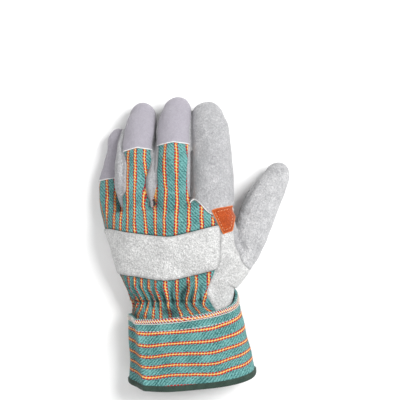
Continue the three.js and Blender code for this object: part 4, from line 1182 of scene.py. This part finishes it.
class KnuckleStrap(GloveOperator, bpy.types.Operator):
    """Light leather strap across the back of the hand"""
    bl_idname, bl_label = "glove.knuckle_strap", "Knuckle strap"

    def build(self):
        wall = millimetres("overlay")
        piece = skin().panel("strap", skin().zone["strap"], finish_of("grey_leather"), "grey_leather",
                             lift=0.3 + wall, wall=wall, dive=0.9, dive_reach=1.8, spread=0.0)
        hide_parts("knuckle_strap")
        BUILT["strap"] = piece


class Patches(GloveOperator, bpy.types.Operator):
    """Orange leather patches at the thumb crotch and across the palm"""
    bl_idname, bl_label = "glove.patches", "Orange patches"

    def build(self):
        wall = millimetres("overlay")
        for name, field, node in (("crotch_leather", "crotch", "crotch_patch"), ("palm_band", "palm_patch", "palm_patch")):
            zone = skin().zone[field]
            piece = skin().panel(name, zone, finish_of("orange_leather"), "orange_leather", lift=0.3 + wall,
                                 wall=wall, dive=0.5, dive_reach=1.0, raw=zone, raw_lift=0.0, spread=0.0)
            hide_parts(node)
            BUILT[name] = piece


class Cuff(GloveOperator, bpy.types.Operator):
    """Striped safety cuff with its overlocked top edge and the tape round its end"""
    bl_idname, bl_label = "glove.cuff", "Cuff"

    def build(self):
        columns = bpy.context.scene.glove_sizes.cuff_columns
        end = CUFF_LENGTH - BINDING_WIDTH
        cuff = band("cuff_cloth", OVERLOCK_WIDTH + 0.1, end + 0.6, 96, columns, 0.0, 1.4, finish_of("striped_cloth"))
        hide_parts("cuff")
        edge = band("cuff_top_edge", 0.0, OVERLOCK_WIDTH, 14, columns, 0.1, 2.0, finish_of("striped_cloth"),
                    bulge=0.7)
        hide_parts("cuff_overlock")
        tape = band("cuff_tape", end, CUFF_LENGTH, 14, columns, 0.3, 2.2, finish_of("binding"), bulge=0.8)
        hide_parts("cuff_binding")
        BUILT["cuff"], BUILT["cuff_edge"], BUILT["cuff_tape"] = cuff, edge, tape


class Stitching(GloveOperator, bpy.types.Operator):
    """Sewing thread on the patches and the cuff, and the overlock on the cuff's edge"""
    bl_idname, bl_label = "glove.stitching", "Stitching"

    def build(self):
        pitch = millimetres("stitch")
        thread = finish_of("thread")
        crotch = [(CROTCH_PATCH_PLACE[0] * HAND_WIDTH + side * CROTCH_PATCH_WIDTH,
                   CROTCH_PATCH_PLACE[1] * HAND_LENGTH + along * CROTCH_PATCH_LENGTH) for side, along in CROTCH_PATCH]
        middle = np.mean(crotch, axis=0)
        inner = [tuple(middle + (np.array(corner) - middle) * 0.76) for corner in crotch]
        surface = Surface(BUILT["crotch_leather"])
        sew("crotch_stitches", seam_pairs(surface, inner + inner[:1], pitch * 0.8, pitch * 0.52, lift=0.0), 0.24,
            finish_of("patch_thread"))

        surface = Surface(BUILT["palm_band"])
        top = PALM_PATCH_TOP * HAND_LENGTH
        edge = [(share * HAND_WIDTH, top - drop * PALM_PATCH_LENGTH) for share, drop in PALM_PATCH_EDGE[1:]]
        lower = [(-62.0, top - PALM_PATCH_LENGTH + 2.6)] + [(x - 1.5, min(y + 2.8, top - 2.8)) for x, y in edge]
        upper = [(-66.0, top - 2.6), (PALM_PATCH_EDGE[-1][0] * HAND_WIDTH - 5.0, top - 2.6)]
        pairs = seam_pairs(surface, lower, pitch, pitch * 0.62, True, 0.1)
        pairs += seam_pairs(surface, upper, pitch, pitch * 0.62, True, 0.1)
        sew("palm_stitches", pairs, 0.36, thread)

        self.cuff_lines(pitch, thread)

    def cuff_lines(self, pitch, thread):
        columns = 1600
        rows = []
        for far, lift in ((10.8, 0.1), (CUFF_LENGTH - BINDING_WIDTH + 1.3, 1.1)):
            points, normal, _, _ = cuff_face(far - 0.5, far + 0.5, 3, columns, lift)
            line, up = points[1], normal[1]
            step = np.append(0, np.cumsum(np.linalg.norm(np.diff(line, axis=0), axis=1)))
            starts = np.searchsorted(step, np.arange(0, step[-1] - pitch, pitch))
            ends = np.searchsorted(step, step[starts] + pitch * 0.62)
            rows.append(np.hstack([line[starts], line[ends], up[starts]]))
        sew("cuff_stitches", rows[0], 0.3, thread, rise=0.2)
        sew("tape_stitches", rows[1], 0.28, finish_of("binding"), rise=0.2)
        count = bpy.context.scene.glove_sizes.overlock_threads
        low, low_normal, _, _ = cuff_face(-0.3, 0.3, 3, count * 4, 0.5)
        high, high_normal, _, _ = cuff_face(OVERLOCK_WIDTH - 0.4, OVERLOCK_WIDTH + 0.4, 3, count * 4, 0.5)
        start = np.arange(count) * 4
        end = (start + 5) % (count * 4)
        bulged = low_normal[1][start] + high_normal[1][end]
        pairs = np.hstack([low[1][start], high[1][end], bulged])
        chain = np.hstack([high[1][start], high[1][(start + 4) % (count * 4)], high_normal[1][start]])
        sew("overlock", np.vstack([pairs, chain]), 0.3, thread, rise=0.7)


class Stage(GloveOperator, bpy.types.Operator):
    """Pale floor, soft studio light and the camera above the glove"""
    bl_idname, bl_label = "glove.stage", "Stage"

    def build(self):
        colours = bpy.context.scene.glove_colours
        mesh = bpy.data.meshes.new("floor")
        reach = 3.0
        mesh.from_pydata([(-reach, -reach, 0), (reach, -reach, 0), (reach, reach, 0), (-reach, reach, 0)], [], [(0, 1, 2, 3)])
        floor = bpy.data.objects.new("floor", mesh)
        floor.location.z = -0.0004
        mesh.materials.append(plain_floor("pale_floor", colours.floor))
        bpy.context.scene.collection.objects.link(floor)

        for name, place, size, power in (
            ("key", (0.8, 0.4, 1.2), 0.7, 23.0),
            ("fill", (-0.9, 0.1, 1.4), 1.6, 9.0),
            ("front", (0.2, -1.1, 1.0), 0.9, 3.0),
        ):
            lamp = bpy.data.lights.new(name, "AREA")
            lamp.size, lamp.energy = size, power
            light = bpy.data.objects.new(name, lamp)
            light.location = place
            light.rotation_euler = (-Vector(place)).to_track_quat("-Z", "Y").to_euler()
            bpy.context.scene.collection.objects.link(light)

        world = bpy.data.worlds.new("studio")
        world.use_nodes = True
        world.node_tree.nodes["Background"].inputs["Color"].default_value = (1.0, 1.0, 1.0, 1.0)
        world.node_tree.nodes["Background"].inputs["Strength"].default_value = 0.42
        bpy.context.scene.world = world
        bpy.context.scene.view_settings.view_transform = "Standard"

        lens = bpy.data.cameras.new("camera")
        lens.sensor_width, lens.lens = 36.0, 110.0
        camera = bpy.data.objects.new("camera", lens)
        target = Vector((0.0054, 0.0376, 0.022))
        elevation = math.radians(87.0)
        distance = 0.352 * lens.lens / lens.sensor_width
        way = Vector((0.0, -math.cos(elevation), math.sin(elevation)))
        camera.location = target + way * distance
        camera.rotation_euler = (-way).to_track_quat("-Z", "Y").to_euler()
        bpy.context.scene.collection.objects.link(camera)
        bpy.context.scene.camera = camera


OPERATORS = (BackCloth, FingerCaps, FingerFronts, IndexFinger, PalmLeather, Thumb, KnuckleStrap, Patches, Cuff,
             Stitching, Stage)


class GlovePanel(bpy.types.Panel):
    """Lists the pieces of the glove and their sizes"""
    bl_idname, bl_label = "GLOVE_PT_build", "Work glove"
    bl_space_type, bl_region_type, bl_category = "VIEW_3D", "UI", "Glove"

    def draw(self, context):
        for group in (context.scene.glove_sizes, context.scene.glove_colours):
            for name in group.__annotations__:
                self.layout.prop(group, name)
        for operator in OPERATORS:
            self.layout.operator(operator.bl_idname)


CLASSES = (GloveSizes, GloveColours, *OPERATORS, GlovePanel)


def register():
    for one in CLASSES:
        bpy.utils.register_class(one)
    bpy.types.Scene.glove_sizes = PointerProperty(type=GloveSizes)
    bpy.types.Scene.glove_colours = PointerProperty(type=GloveColours)


def unregister():
    del bpy.types.Scene.glove_colours
    del bpy.types.Scene.glove_sizes
    for one in reversed(CLASSES):
        bpy.utils.unregister_class(one)


def main():
    register()
    for operator in OPERATORS:
        group, name = operator.bl_idname.split(".")
        getattr(getattr(bpy.ops, group), name)()
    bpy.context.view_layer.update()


if __name__ == "__main__":
    main()
